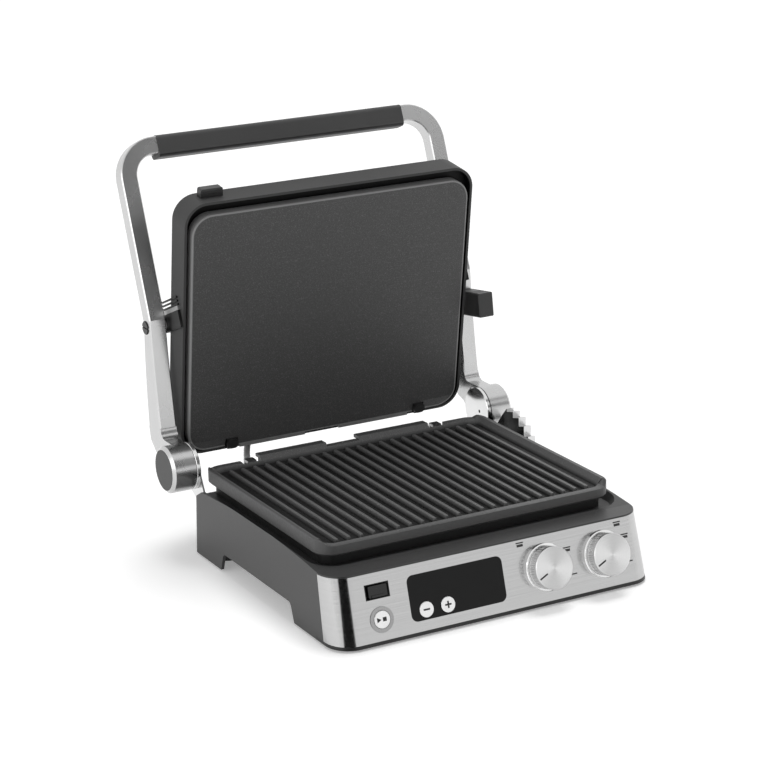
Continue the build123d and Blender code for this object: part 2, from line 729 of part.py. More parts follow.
def hinge_tail(thickness, gap=0.0):
    """Flat tail that drops from the hinge ring into the base's rear corner, left side."""
    inner = -BRACKET_X[0] + gap
    outer = -BRACKET_X[0] - thickness - gap
    grow = gap
    outline = [
        (HINGE_Y - 20.5 - grow, HINGE_Z - 2),
        (BASE_BACK_Y - 20 - grow, DECK_Z - REAR_CORNER_DROP + 3),
        (BASE_BACK_Y - 26 - grow, 26 - grow),
        (BASE_BACK_Y - 6 + grow, 26 - grow),
        (BASE_BACK_Y - 3.2 + grow, 50),
        (HINGE_Y + 6 + grow, HINGE_Z - 19),
    ]
    return prism_x(outline, (outer, inner))


def hinge_bracket():
    """Left hinge bracket: tail, barrel ring and the hollow shaft that the arm turns on."""
    ring = rod_x(BARREL_R, (-BRACKET_X[1], -BRACKET_X[0]), HINGE_Y, HINGE_Z)
    ring = chamfer(ring.edges().filter_by(GeomType.CIRCLE), 0.5)
    shaft = rod_x(HINGE_SHAFT_R, (-SHAFT_END_X, -BRACKET_X[1] + 1), HINGE_Y, HINGE_Z)
    bracket = ring + hinge_tail(BRACKET_TAIL_T) + shaft
    hollow = (-BARREL_END_X, -BRACKET_X[0] - BRACKET_END_T)
    bracket -= rod_x(HINGE_SHAFT_R - 3.5, hollow, HINGE_Y, HINGE_Z)
    across = (-BRACKET_X[1] - 3, -BRACKET_X[0] + 3)
    bracket -= rod_x(1.6, across, HINGE_Y - 5.4, HINGE_Z)
    for y, z in hinge_screw_points():
        bracket -= rod_x(SCREW_R + FIT_GAP, across, y, z)
    return bracket


def hinge_screw_points():
    """Where each hinge tail is screwed to the base's side wall, in (y, z)."""
    return [(BASE_BACK_Y - 16, 33.0), (BASE_BACK_Y - 15, 47.0)]


def hinge_screws():
    """Screws through both hinge tails, from inside the base."""
    pieces = []
    for side in (-1, 1):
        for y, z in hinge_screw_points():
            pieces.append(screw((side * BRACKET_X[0], y, z), (side, 0, 0), 3.4))
    return group(pieces)


def hinge_nuts():
    """Round nuts that keep the arms on the hinge shafts."""
    nut = rod_x(NUT_R - 1, (-SHAFT_END_X - 2, -HUB_WALL_X - SLIDE_GAP), HINGE_Y, HINGE_Z)
    nut -= rod_x(HINGE_SHAFT_R + RUNNING, (-SHAFT_END_X, -HUB_WALL_X + 1), HINGE_Y, HINGE_Z)
    nut -= rod_x(HINGE_SHAFT_R - 3.5, (-BARREL_END_X, -HUB_WALL_X + 1), HINGE_Y, HINGE_Z)
    return both(nut)


def quadrant_tips():
    """Tooth tips of the stop plate, from the back to the front, as (y, z)."""
    tips = []
    for tooth in range(QUADRANT_TEETH):
        angle = radians(QUADRANT_FIRST + QUADRANT_PITCH * tooth)
        y = QUADRANT_CENTRE[0] + QUADRANT_R * cos(angle)
        z = QUADRANT_CENTRE[1] + QUADRANT_R * sin(angle)
        tips.append((y, z))
    return tips


def toothed_quadrant():
    """Stepped stop plate on the base's right side, on two spacers."""
    tips = quadrant_tips()
    outline = [(HINGE_Y - 33, tips[0][1] - 8), tips[0]]
    for tip, ahead in zip(tips, tips[1:]):
        tread = (tip[0] - ahead[0]) * tan(radians(QUADRANT_TREAD))
        outline += [(tip[0], ahead[1] - tread), ahead]
    low_z = QUADRANT_SCREW_Z - 8
    last = tips[-1]
    outline += [
        (last[0], last[1] - 7),
        (QUADRANT_SCREW_Y[0] - 12, low_z),
        (QUADRANT_SCREW_Y[1] + 8, low_z),
        (HINGE_Y - BARREL_R - 2, HINGE_Z - 8),
    ]
    plate = prism_x(outline, QUADRANT_X)
    wall_x = BASE_HALF_WIDTH - BASE_DRAFT * QUADRANT_SCREW_Z / DECK_Z + FIT_GAP + 0.15
    for y in QUADRANT_SCREW_Y:
        plate += rod_x(6.0, (wall_x, QUADRANT_X[0] + 1), y, QUADRANT_SCREW_Z)
        plate -= rod_x(SCREW_R + FIT_GAP, (wall_x - 1, QUADRANT_X[1] + 1), y, QUADRANT_SCREW_Z)
    return plate


def quadrant_screws():
    """Screws that hold the stop plate to the base."""
    length = QUADRANT_X[1] - BASE_HALF_WIDTH + BASE_DRAFT + 0.6
    return group(
        screw((QUADRANT_X[1], y, QUADRANT_SCREW_Z), (-1, 0, 0), length) for y in QUADRANT_SCREW_Y
    )


def inlet_gland():
    """Moulded gland where the supply enters at the back."""
    start = (INLET_X, BASE_BACK_Y + FIT_GAP, INLET_Z)
    gland = rod(INLET_R, start, (INLET_X, BASE_BACK_Y + 9, INLET_Z))
    gland = chamfer(gland.edges().filter_by(GeomType.CIRCLE).sort_by(Axis.Y)[-1:], 1.5)
    gland += rod(INLET_R - 2.3, (INLET_X, BASE_BACK_Y - 6, INLET_Z), start)
    return gland - rod(3.2, (INLET_X, BASE_BACK_Y - 9, INLET_Z), (INLET_X, BASE_BACK_Y + 12, INLET_Z))


def lid_point(x, v, w):
    """Point in the lid's own axes as (x, y, z)."""
    spot = LID.from_local_coords(Vector(x, v, w))
    return (spot.X, spot.Y, spot.Z)


def wiring_sleeve():
    """Flexible sleeve that carries the wires from the base to the lid."""
    low_x, low_z = SLEEVE_BASE
    path = FilletPolyline(
        (low_x, BASE_BACK_Y - BASE_WALL, low_z),
        (low_x, BASE_BACK_Y + 24.0, low_z),
        lid_point(*SLEEVE_NEAR, SLEEVE_DEPTH),
        lid_point(*SLEEVE_LID, SLEEVE_DEPTH),
        radius=SLEEVE_BEND_R,
    )
    return sweep(Plane(origin=path @ 0, z_dir=path % 0).location * Circle(SLEEVE_R), path=path)


# ---- Lower plate ----------------------------------------------------------------------------
def lower_plate():
    """Ribbed cooking plate with a raised lip on three sides."""
    y = (PLATE_FRONT_Y, PLATE_BACK_Y)
    plate = slab(PLATE_HALF_WIDTH, y, (PLATE_WAIST_Z, PLATE_LIP_Z), PLATE_R)
    plate = fillet(plate.edges().group_by(Axis.Z)[-1], 1.2)
    plate = chamfer(plate.edges().group_by(Axis.Z)[0], 2.0)
    waist = PLATE_HALF_WIDTH - PLATE_WAIST_INSET
    foot_z = SHELF_Z + SLIDE_GAP
    plate += slab(waist, grown(y, -PLATE_WAIST_INSET), (foot_z, PLATE_WAIST_Z + 3), PLATE_R - 4)
    pan_top = slab_face(PLATE_HALF_WIDTH - PLATE_LIP_W, grown(y, -PLATE_LIP_W), PLATE_LIP_Z + 1, 15)
    pan_floor = slab_face(
        PLATE_HALF_WIDTH - PLATE_LIP_W - PLATE_LIP_SLOPE,
        grown(y, -PLATE_LIP_W - PLATE_LIP_SLOPE),
        PLATE_FLOOR_Z,
        10,
    )
    plate -= loft([pan_floor, pan_top])
    front = (PLATE_FRONT_Y - 5, PLATE_FRONT_Y + PLATE_R * 0.75)
    plate -= lip_dip(front, PLATE_FRONT_LIP_Z)
    back = (PLATE_BACK_Y - PLATE_R * 0.6, PLATE_BACK_Y + 5)
    dip = lip_dip(back, PLATE_BACK_LIP_Z)
    for x in LEDGES_X:
        dip -= block(x, grown(back, 1), (PLATE_BACK_LIP_Z - 1, PLATE_LIP_Z + 20))
    plate -= dip
    hollow_y = grown(y, -PLATE_WAIST_INSET - PLATE_SKIN)
    plate -= slab(waist - PLATE_SKIN, hollow_y, (foot_z - 1, PLATE_FLOOR_Z - PLATE_SKIN), 10)
    for index in range(RIB_COUNT):
        x = (index - (RIB_COUNT - 1) / 2) * RIB_PITCH
        rib = SlotOverall(RIB_BACK_Y - RIB_FRONT_Y, RIB_W, rotation=90)
        base = Pos(x, (RIB_FRONT_Y + RIB_BACK_Y) / 2, PLATE_FLOOR_Z - 0.5)
        plate += base * extrude(rib, RIB_TOP_Z - PLATE_FLOOR_Z + 0.5, taper=14)
    for x in LEDGES_X:
        ledge = (PLATE_BACK_Y - 2, PLATE_BACK_Y + LEDGE_REACH)
        plate += block(x, ledge, (PLATE_LIP_Z - 3.2, PLATE_LIP_Z - 0.2))
    for x in (-CLIP_X, CLIP_X):
        notch = (x - CLIP_NOTCH_W / 2, x + CLIP_NOTCH_W / 2)
        back = (PLATE_BACK_Y - CLIP_DEPTH, PLATE_BACK_Y + 20)
        plate -= block(notch, back, (SHELF_Z - 5, PLATE_LIP_Z + 5))
    return largest(plate)


def lip_dip(y, low_z):
    """Form that lowers the lip to a height within limits of y, rising again into the corners."""
    run = PLATE_HALF_WIDTH - PLATE_LIP_W
    high_z = PLATE_LIP_Z + 3
    face = make_face(
        Polyline((-run + 4, low_z), (run - 4, low_z), (run + 3, high_z), (-run - 3, high_z), close=True)
    )
    return Plane.XZ.offset(-y[1]).location * extrude(face, y[1] - y[0])


def slab_face(half_width, y, z, radius):
    """Rounded rectangle centred on x = 0 at one height."""
    sketch = RectangleRounded(2 * half_width, y[1] - y[0], radius)
    return Pos(0, (y[0] + y[1]) / 2, z) * sketch


# ---- Arms and grip --------------------------------------------------------------------------
def arm_bow():
    """Upper part of the left arm: a flat bar that bends over into the grip."""
    outer = -ARM_X[1]
    inner = -ARM_X[0]
    thick = ARM_X[1] - ARM_X[0]
    end = -GRIP_HALF_LENGTH - FIT_GAP
    top = ARM_RISE
    small = BOW_R - thick
    outline = make_face(
        [
            *Polyline((inner, 0), (outer, 0), (outer, top - BOW_R)).edges(),
            RadiusArc((outer, top - BOW_R), (outer + BOW_R, top), BOW_R),
            *Polyline((outer + BOW_R, top), (end, top), (end, top - thick)).edges(),
            Line((end, top - thick), (inner + small, top - thick)),
            RadiusArc((inner + small, top - thick), (inner, top - thick - small), -small),
            Line((inner, top - thick - small), (inner, 0)),
        ]
    )
    bar = on_plane(ARM_PLANE, outline, (-ARM_DEPTH, 0))
    across = ARM_PLANE.z_dir
    long_edges = [
        edge
        for edge in bar.edges()
        if abs((edge @ 1 - edge @ 0).normalized().dot(across)) < 0.5 and off_ends(edge, end)
    ]
    return chamfer(long_edges, ARM_EDGE)


def off_ends(edge, end):
    """Whether an edge of the bow is clear of its two flat ends."""
    middle = ARM_PLANE.to_local_coords(edge @ 0.5)
    return middle.Y > 0.1 and middle.X < end - 0.1


def arm_leg():
    """Middle of the left arm, between the crank and the bend."""
    lean = radians(ARM_LEAN)
    bend_back = (BEND_Y + ARM_DEPTH * cos(lean), BEND_Z - ARM_DEPTH * sin(lean))
    front = Spline(
        (BEND_Y, BEND_Z),
        ((BEND_Y + CRANK_Y) / 2 + 1.2, (BEND_Z + CRANK_Z) / 2),
        (CRANK_Y, CRANK_Z),
    )
    foot_back = (CRANK_Y + ARM_FOOT_DEPTH, CRANK_Z - 4)
    back = Spline(foot_back, (foot_back[0] + 2.4, (BEND_Z + CRANK_Z) / 2), bend_back)
    outline = make_face(
        [front, Line((CRANK_Y, CRANK_Z), foot_back), back, Line(bend_back, (BEND_Y, BEND_Z))]
    )
    leg = Plane.YZ.offset(-ARM_X[1]).location * extrude(outline, ARM_X[1] - ARM_X[0])
    long_edges = [
        edge
        for edge in leg.edges()
        if abs((edge @ 1 - edge @ 0).Z) > BEND_Z - CRANK_Z - 20 and abs((edge @ 1 - edge @ 0).X) < 1
    ]
    return chamfer(long_edges, ARM_EDGE)


def arm_crank():
    """Foot of the left arm, which rolls forwards on to the hinge barrel."""
    foot_back = (CRANK_Y + ARM_FOOT_DEPTH, CRANK_Z - 4)
    roll_y = CRANK_Y - CRANK_R
    top_z = HINGE_Z + BARREL_R
    deep = CRANK_R * sin(radians(45))
    outline = make_face(
        [
            ThreePointArc((CRANK_Y, CRANK_Z), (roll_y + deep, CRANK_Z - deep), (roll_y, top_z)),
            *Polyline(
                (roll_y, top_z),
                (HINGE_Y, top_z),
                (HINGE_Y, HINGE_Z),
                (HINGE_Y + 14, HINGE_Z - 15),
                (foot_back[0] - 3, HINGE_Z + 14),
                foot_back,
                (CRANK_Y, CRANK_Z),
            ).edges(),
        ]
    )
    side = Plane.YZ.offset(-BARREL_END_X).location * extrude(outline, BARREL_END_X - BRACKET_X[0])
    way = atan2(CRANK_Z - HINGE_Z, CRANK_Y + ARM_FOOT_DEPTH / 2 - HINGE_Y)
    along = Plane(origin=(0, HINGE_Y, HINGE_Z), x_dir=(1, 0, 0), z_dir=(0, -sin(way), cos(way)))
    step = make_face(
        Polyline(
            (-BRACKET_X[1] - 0.5, -5),
            (-BRACKET_X[1] - 0.5, 26),
            (-ARM_X[0], 33),
            (-ARM_X[0], 75),
            (-ARM_X[1], 75),
            (-ARM_X[1], -5),
            close=True,
        )
    )
    stepped = along.location * Pos(0, 0, -80) * extrude(step, 160)
    return side & stepped


def arm():
    """Left arm: bow, leg, crank and hinge barrel, with its bores."""
    hub_x = (-BARREL_END_X, -BRACKET_X[1] - 0.5)
    hub = rod_x(BARREL_R, hub_x, HINGE_Y, HINGE_Z)
    hub = chamfer(hub.edges().filter_by(GeomType.CIRCLE).sort_by(Axis.X)[:1], BARREL_SHOULDER)
    body = arm_bow() + arm_leg() + arm_crank() + hub
    outside = -BARREL_END_X - 5
    inside = -BRACKET_X[0] + 5
    body -= rod_x(HINGE_SHAFT_R + RUNNING, (outside, inside), HINGE_Y, HINGE_Z)
    body -= rod_x(NUT_R, (outside, -HUB_WALL_X), HINGE_Y, HINGE_Z)
    body -= rod_x(CAP_R + FIT_GAP, (outside, -BARREL_END_X + CAP_T), HINGE_Y, HINGE_Z)
    body -= rod_x(PIVOT_R + RUNNING, (pivot_end_x(), inside), PIVOT_Y, PIVOT_Z)
    body -= rod_x(PIVOT_R + 1.5, (outside, -ARM_X[1] + PIVOT_RECESS), PIVOT_Y, PIVOT_Z)
    lean = radians(ARM_LEAN)
    middle_v = ARM_RISE - (ARM_X[1] - ARM_X[0]) / 2
    spigot = patch((-GRIP_HALF_LENGTH - 3, -GRIP_HALF_LENGTH + 14), (middle_v - 4, middle_v + 4))
    body += on_plane(ARM_PLANE, spigot, (-ARM_DEPTH / 2 - 4, -ARM_DEPTH / 2 + 4))
    return body


def grip():
    """Moulded grip between the arms."""
    x = (-GRIP_HALF_LENGTH, GRIP_HALF_LENGTH)
    body = on_plane(ARM_PLANE, patch(x, (ARM_RISE - GRIP_HEIGHT + 1, ARM_RISE + 1)), (-GRIP_DEPTH + 1, 1))
    long_edges = body.edges().filter_by(Axis.X)
    body = fillet(long_edges, 4.5)
    middle_v = ARM_RISE - (ARM_X[1] - ARM_X[0]) / 2
    for side in (-1, 1):
        ends = sorted((side * (GRIP_HALF_LENGTH - 15), side * (GRIP_HALF_LENGTH + 1)))
        socket = patch(ends, (middle_v - 4 - FIT_GAP, middle_v + 4 + FIT_GAP))
        depth = (-ARM_DEPTH / 2 - 4 - FIT_GAP, -ARM_DEPTH / 2 + 4 + FIT_GAP)
        body -= on_plane(ARM_PLANE, socket, depth)
    return body


def hinge_caps():
    """Dark discs that close the outer ends of the barrels."""
    cap = rod_x(CAP_R, (-BARREL_END_X, -BARREL_END_X + CAP_T), HINGE_Y, HINGE_Z)
    cap = chamfer(cap.edges().filter_by(GeomType.CIRCLE).sort_by(Axis.X)[:1], 0.4)
    return both(cap)


def pivot_end_x():
    """Where the bore for the left pivot shaft ends inside the arm."""
    return -ARM_X[1] + PIVOT_RECESS + 1.0


def pivot_screws():
    """Slotted heads over the lid pivots, on the outside of the arms."""
    head = rod_x(PIVOT_R + 1.3, (-ARM_X[1] - 1.0, -ARM_X[1] + PIVOT_RECESS), PIVOT_Y, PIVOT_Z)
    head = chamfer(head.edges().filter_by(GeomType.CIRCLE).sort_by(Axis.X)[:1], 0.4)
    slot_x = (-ARM_X[1] - 5, -ARM_X[1])
    slot = block(slot_x, (PIVOT_Y - 8, PIVOT_Y + 8), (PIVOT_Z - 0.6, PIVOT_Z + 0.6))
    return both(head - slot)


def pivot_discs():
    """Left stub shaft that links the arm to the lid, with a collar between the two."""
    shaft = rod_x(PIVOT_R, (pivot_end_x() + 0.2, -PIVOT_DEEP_X), PIVOT_Y, PIVOT_Z)
    collar_x = (-ARM_X[0] + SLIDE_GAP, -LID_HALF_WIDTH - BRACKET_T - SLIDE_GAP)
    return shaft + rod_x(PIVOT_R + 2, collar_x, PIVOT_Y, PIVOT_Z)


def stop_frame():
    """Frame of the height stop: its z axis points forwards along the slide."""
    tilt = radians(STOP_AXIS_TILT)
    return Plane(origin=STOP_CENTRE, x_dir=(1, 0, 0), z_dir=(0, -cos(tilt), sin(tilt)))


def height_stop():
    """Sliding stop block on the front of the right arm, with its shank."""
    width, length, height = STOP_SIZE
    body = Box(width, height, length)
    body = chamfer(body.edges(), 1.0)
    body += Pos(0, 0, -length / 2) * extrude(Circle(STOP_SHANK_R), -STOP_SHANK_LENGTH)
    body += Pos(width / 2, 1.0, length / 2 - 12) * Box(3.0, 6.0, 9.0)
    for row in range(4):
        body -= Pos(0, height / 2, length / 2 - 6 - row * 4) * Box(width + 4, 1.2, 1.4)
    return stop_frame().location * body


def stop_bore():
    """Hole in the right arm for the height stop's shank."""
    length = STOP_SIZE[1]
    bore = Pos(0, 0, -length / 2 + 4) * extrude(Circle(STOP_SHANK_R + RUNNING), -60)
    face_cut = Pos(0, 0, -length / 2 + 10) * Box(STOP_SIZE[0] + 2, STOP_SIZE[2] + 1, 20 + 2 * SLIDE_GAP)
    return stop_frame().location * bore, stop_frame().location * face_cut


# ---- Lid ------------------------------------------------------------------------------------
def lid_slab(grow, depth, radius):
    """Rounded rectangle of the lid's outline, grown outwards, between two depths."""
    x = (-LID_HALF_WIDTH - grow, LID_HALF_WIDTH + grow)
    v = (LID_FOOT_V - grow, LID_TOP_V + grow)
    return on_plane(LID, patch(x, v, radius), depth)


def lid_crown(grow, depth, inset):
    """Sloping back of the lid between two depths."""
    x = (-LID_HALF_WIDTH - grow, LID_HALF_WIDTH + grow)
    v = (LID_FOOT_V - grow, LID_TOP_V + grow)
    near = LID.location * Pos(0, 0, depth[1]) * patch(x, v, LID_R + grow)
    far = LID.location * Pos(0, 0, depth[0]) * patch(grown(x, -inset), grown(v, -inset), LID_R + grow)
    return loft([far, near])


def lid_housing():
    """Moulded lid shell with its inner shelf, pivot bosses and tab slot."""
    shell = lid_slab(0, (LID_SIDE, LID_FRONT), LID_R)
    shell += lid_crown(0, (LID_BACK, LID_SIDE), LID_CROWN)
    hollow = lid_slab(-LID_WALL, (LID_SIDE, LID_FRONT + 1), LID_R - LID_WALL)
    hollow += lid_crown(-LID_WALL, (LID_BACK + LID_WALL, LID_SIDE), LID_CROWN)
    shell -= hollow
    shelf = lid_slab(-LID_WALL / 2, (LID_SHELF - LID_WALL, LID_SHELF), LID_R - LID_WALL / 2)
    x = (-UPPER_PLATE_HALF_WIDTH + 16, UPPER_PLATE_HALF_WIDTH - 16)
    v = (16.0, UPPER_PLATE_HEIGHT - 16.0)
    shelf -= on_plane(LID, patch(x, v, 12.0), (LID_SHELF - LID_WALL - 1, LID_SHELF + 1))
    shell += shelf
    boss = rod_x(PIVOT_BOSS_R, (-LID_HALF_WIDTH, -PIVOT_DEEP_X + 2.5), PIVOT_Y, PIVOT_Z)
    shell += both(boss)
    bore_x = (-LID_HALF_WIDTH - 5, -PIVOT_DEEP_X + 0.5)
    shell -= both(rod_x(PIVOT_R + RUNNING, bore_x, PIVOT_Y, PIVOT_Z))
    tab = patch(grown(TAB_X, SLIDE_GAP), (LID_TOP_V - 8, LID_TOP_V + 5))
    shell -= on_plane(LID, tab, grown(TAB_DEPTH, SLIDE_GAP))
    for clip in clip_spots():
        shell -= on_plane(LID, patch(*clip_patch(clip, FIT_GAP)), (LID_SHELF - LID_WALL - 1, 10))
    for piece in lid_screws().solids():
        shell -= piece
    near = Vector(*lid_point(*SLEEVE_NEAR, SLEEVE_DEPTH))
    end = Vector(*lid_point(*SLEEVE_LID, SLEEVE_DEPTH))
    past = end + (end - near).normalized() * 8
    shell -= rod(SLEEVE_R + FIT_GAP, tuple(near), tuple(past))
    return largest(shell)


def clip_spots():
    """Where the lid's two plate clips stand across the lid."""
    return (-CLIP_X, CLIP_X + UPPER_CLIP_SHIFT)


def clip_patch(x, gap):
    """Outline of a lid clip in the lid's plane, with a gap all round."""
    return (x - CLIP_W / 2 - gap, x + CLIP_W / 2 + gap), (-2.0 - gap, 8.0 + gap)


def lid_cover():
    """Steel sheet on the back of the lid."""
    x = (-LID_HALF_WIDTH + COVER_SHEET_INSET, LID_HALF_WIDTH - COVER_SHEET_INSET)
    v = (LID_FOOT_V + COVER_SHEET_INSET, LID_TOP_V - COVER_SHEET_INSET)
    sheet = on_plane(LID, patch(x, v, 14.0), (LID_BACK - COVER_SHEET_T, LID_BACK))
    for x, v in lid_screw_points():
        sheet -= on_plane(LID, disc(x, v, SCREW_R + FIT_GAP), (LID_BACK - 5, LID_BACK + 5))
    return sheet


def lid_screw_points():
    """Where the steel sheet is screwed to the lid, in (x, v)."""
    x = LID_HALF_WIDTH - COVER_SHEET_INSET - 11.5
    v = (LID_FOOT_V + COVER_SHEET_INSET + 12, LID_TOP_V - COVER_SHEET_INSET - 12)
    return [(side * x, spot) for side in (-1, 1) for spot in v]


def lid_frame():
    """Plane at the back of the lid's shelf, facing into the lid."""
    return Plane(
        origin=lid_point(0, UPPER_PLATE_HEIGHT / 2, LID_SHELF - LID_WALL),
        x_dir=(1, 0, 0),
        z_dir=(0, -LID_COS, -LID_SIN),
    )


def upper_reflector():
    """Bright tray behind the upper heating rod."""
    half_v = UPPER_PLATE_HEIGHT / 2 - 17
    depth = 13.0
    pan = tray(UPPER_PLATE_HALF_WIDTH - 17, (-half_v, half_v), depth, 5.0)
    return lid_frame().location * Pos(0, 0, -depth) * pan


def upper_element():
    """Heating rod behind the upper plate."""
    rod_z = -13.0 + TRAY_T + ELEMENT_R + 1.3
    half_v = UPPER_PLATE_HEIGHT / 2 - 34
    rod_form = element(UPPER_PLATE_HALF_WIDTH - 43, (-half_v, half_v))
    return lid_frame().location * Pos(0, 0, rod_z) * rod_form


def upper_clips():
    """Sprung clips at the foot of the upper plate."""
    pieces = []
    for spot in clip_spots():
        stem = on_plane(LID, patch(*clip_patch(spot, 0.0)), (LID_SHELF - LID_WALL, 0.6))
        nose_x = (spot - UPPER_NOSE_W / 2, spot + UPPER_NOSE_W / 2)
        nose = patch(nose_x, UPPER_NOSE_V, UPPER_NOSE_R)
        stem += on_plane(LID, nose, (0.0, UPPER_CLIP_PROUD))
        pieces.append(stem)
    return group(pieces)


def strip_outline(offset, height):
    """Band on the lid's side that slopes down to the pivot, in (v, w), moved up by an offset."""
    pivot = LID.to_local_coords(Vector(0, PIVOT_Y, PIVOT_Z))
    slope = atan2(pivot.Z - BRACKET_START[1], pivot.Y - BRACKET_START[0])
    across = (-sin(slope), cos(slope))
    corners = []
    ends = (BRACKET_START, (pivot.Y, pivot.Z))
    for end, side in ((0, -1), (1, -1), (1, 1), (0, 1)):
        reach = offset + side * height / 2
        corners.append((ends[end][0] + across[0] * reach, ends[end][1] + across[1] * reach))
    return corners


def side_band(offset, height, x):
    """Solid of a sloping band on the left side of the lid."""
    face = make_face(Polyline(*strip_outline(offset, height), close=True))
    across = Plane(origin=LID.origin, x_dir=LID.y_dir, z_dir=(1, 0, 0))
    return across.offset(x[0]).location * extrude(face, x[1] - x[0])


def pivot_bracket():
    """Left pivot bracket with its eye, on the side of the lid."""
    x = (-LID_HALF_WIDTH - BRACKET_T, -LID_HALF_WIDTH)
    bracket = side_band(0.0, BRACKET_H, x)
    bracket += rod_x(BRACKET_H / 2, x, PIVOT_Y, PIVOT_Z)
    sign = band_sign()
    for row in range(3):
        lift = BRACKET_H / 2 + STRIP_H + 1.2 + row * SIDE_RIB_PITCH
        bracket += side_band(sign * lift, SIDE_RIB_H, (x[0] + 1.0, x[1]))
    return bracket - rod_x(PIVOT_R + RUNNING, grown(x, 5.0), PIVOT_Y, PIVOT_Z)


def band_sign():
    """Sign of a band's offset that moves it towards the top of the lid."""
    middle = sum(v for v, w in strip_outline(0.0, 1.0)) / 4
    lifted = sum(v for v, w in strip_outline(5.0, 1.0)) / 4
    return 1 if lifted > middle else -1


def pivot_strips():
    """Metal strips above the pivot brackets."""
    x = (-LID_HALF_WIDTH - BRACKET_T + 0.5, -LID_HALF_WIDTH)
    lift = BRACKET_H / 2 + STRIP_H / 2
    return both(side_band(band_sign() * lift, STRIP_H, x))


def lid_screws():
    """Screws that hold the steel sheet to the lid."""
    pieces = []
    for x, v in lid_screw_points():
        head = lid_point(x, v, LID_BACK - COVER_SHEET_T)
        pieces.append(screw(head, (0, -LID_COS, -LID_SIN), COVER_SHEET_T + 2.0))
    return group(pieces)


def upper_release():
    """Tab on top of the lid that frees the upper plate."""
    v = (TAB_TOP_V - TAB_LENGTH, TAB_TOP_V)
    tab = on_plane(LID, patch(TAB_X, v, 2.0), TAB_DEPTH)
    groove_v = TAB_TOP_V - 2.5
    for row in range(2):
        line = (groove_v - 2 * row - 0.4, groove_v - 2 * row + 0.4)
        tab -= on_plane(LID, patch(grown(TAB_X, 1), line), (TAB_DEPTH[1] - 0.5, TAB_DEPTH[1] + 1))
    return tab


def upper_plate():
    """Flat cooking plate that nests in the lid."""
    x = (-UPPER_PLATE_HALF_WIDTH, UPPER_PLATE_HALF_WIDTH)
    v = (0.0, UPPER_PLATE_HEIGHT)
    plate = on_plane(LID, patch(x, v, UPPER_PLATE_R), (-UPPER_PLATE_T, 0.0))
    rim = plate.faces().sort_by(Axis((0, 0, 0), (0, -LID_COS, -LID_SIN)))[-1].edges()
    plate = fillet(rim, 1.2)
    spigot_depth = (-UPPER_PLATE_T - UPPER_SPIGOT, -UPPER_PLATE_T + 1)
    plate += on_plane(LID, patch(grown(x, -4.0), grown(v, -4.0), UPPER_PLATE_R - 4), spigot_depth)
    hollow = patch(grown(x, -9.0), grown(v, -9.0), UPPER_PLATE_R - 9)
    plate -= on_plane(LID, hollow, (-UPPER_PLATE_T - 5, -UPPER_PLATE_T + PLATE_SKIN))
    for side in (-1, 1):
        edge = make_face(
            Polyline((-5, -BEVEL_DROP * 1.5), (BEVEL_V, 0), (BEVEL_V, 2), (-5, 2), close=True)
        )
        across = Plane(origin=LID.origin, x_dir=LID.y_dir, z_dir=(1, 0, 0))
        start = CLIP_X + 8 if side > 0 else -UPPER_PLATE_HALF_WIDTH - 5
        plate -= across.offset(start).location * extrude(edge, UPPER_PLATE_HALF_WIDTH - CLIP_X)
    for ledge in LEDGES_X:
        plate += on_plane(LID, patch(grown(ledge, -1.0), (-2.6, 2.0)), (LID_FRONT + SLIDE_GAP, -0.4))
    for spot in clip_spots():
        notch_x = (spot - UPPER_NOTCH_W / 2, spot + UPPER_NOTCH_W / 2)
        notch = patch(notch_x, (-5.0, 8.0 + SLIDE_GAP))
        plate -= on_plane(LID, notch, (-UPPER_PLATE_T - 10, 5.0))
    return largest(plate)


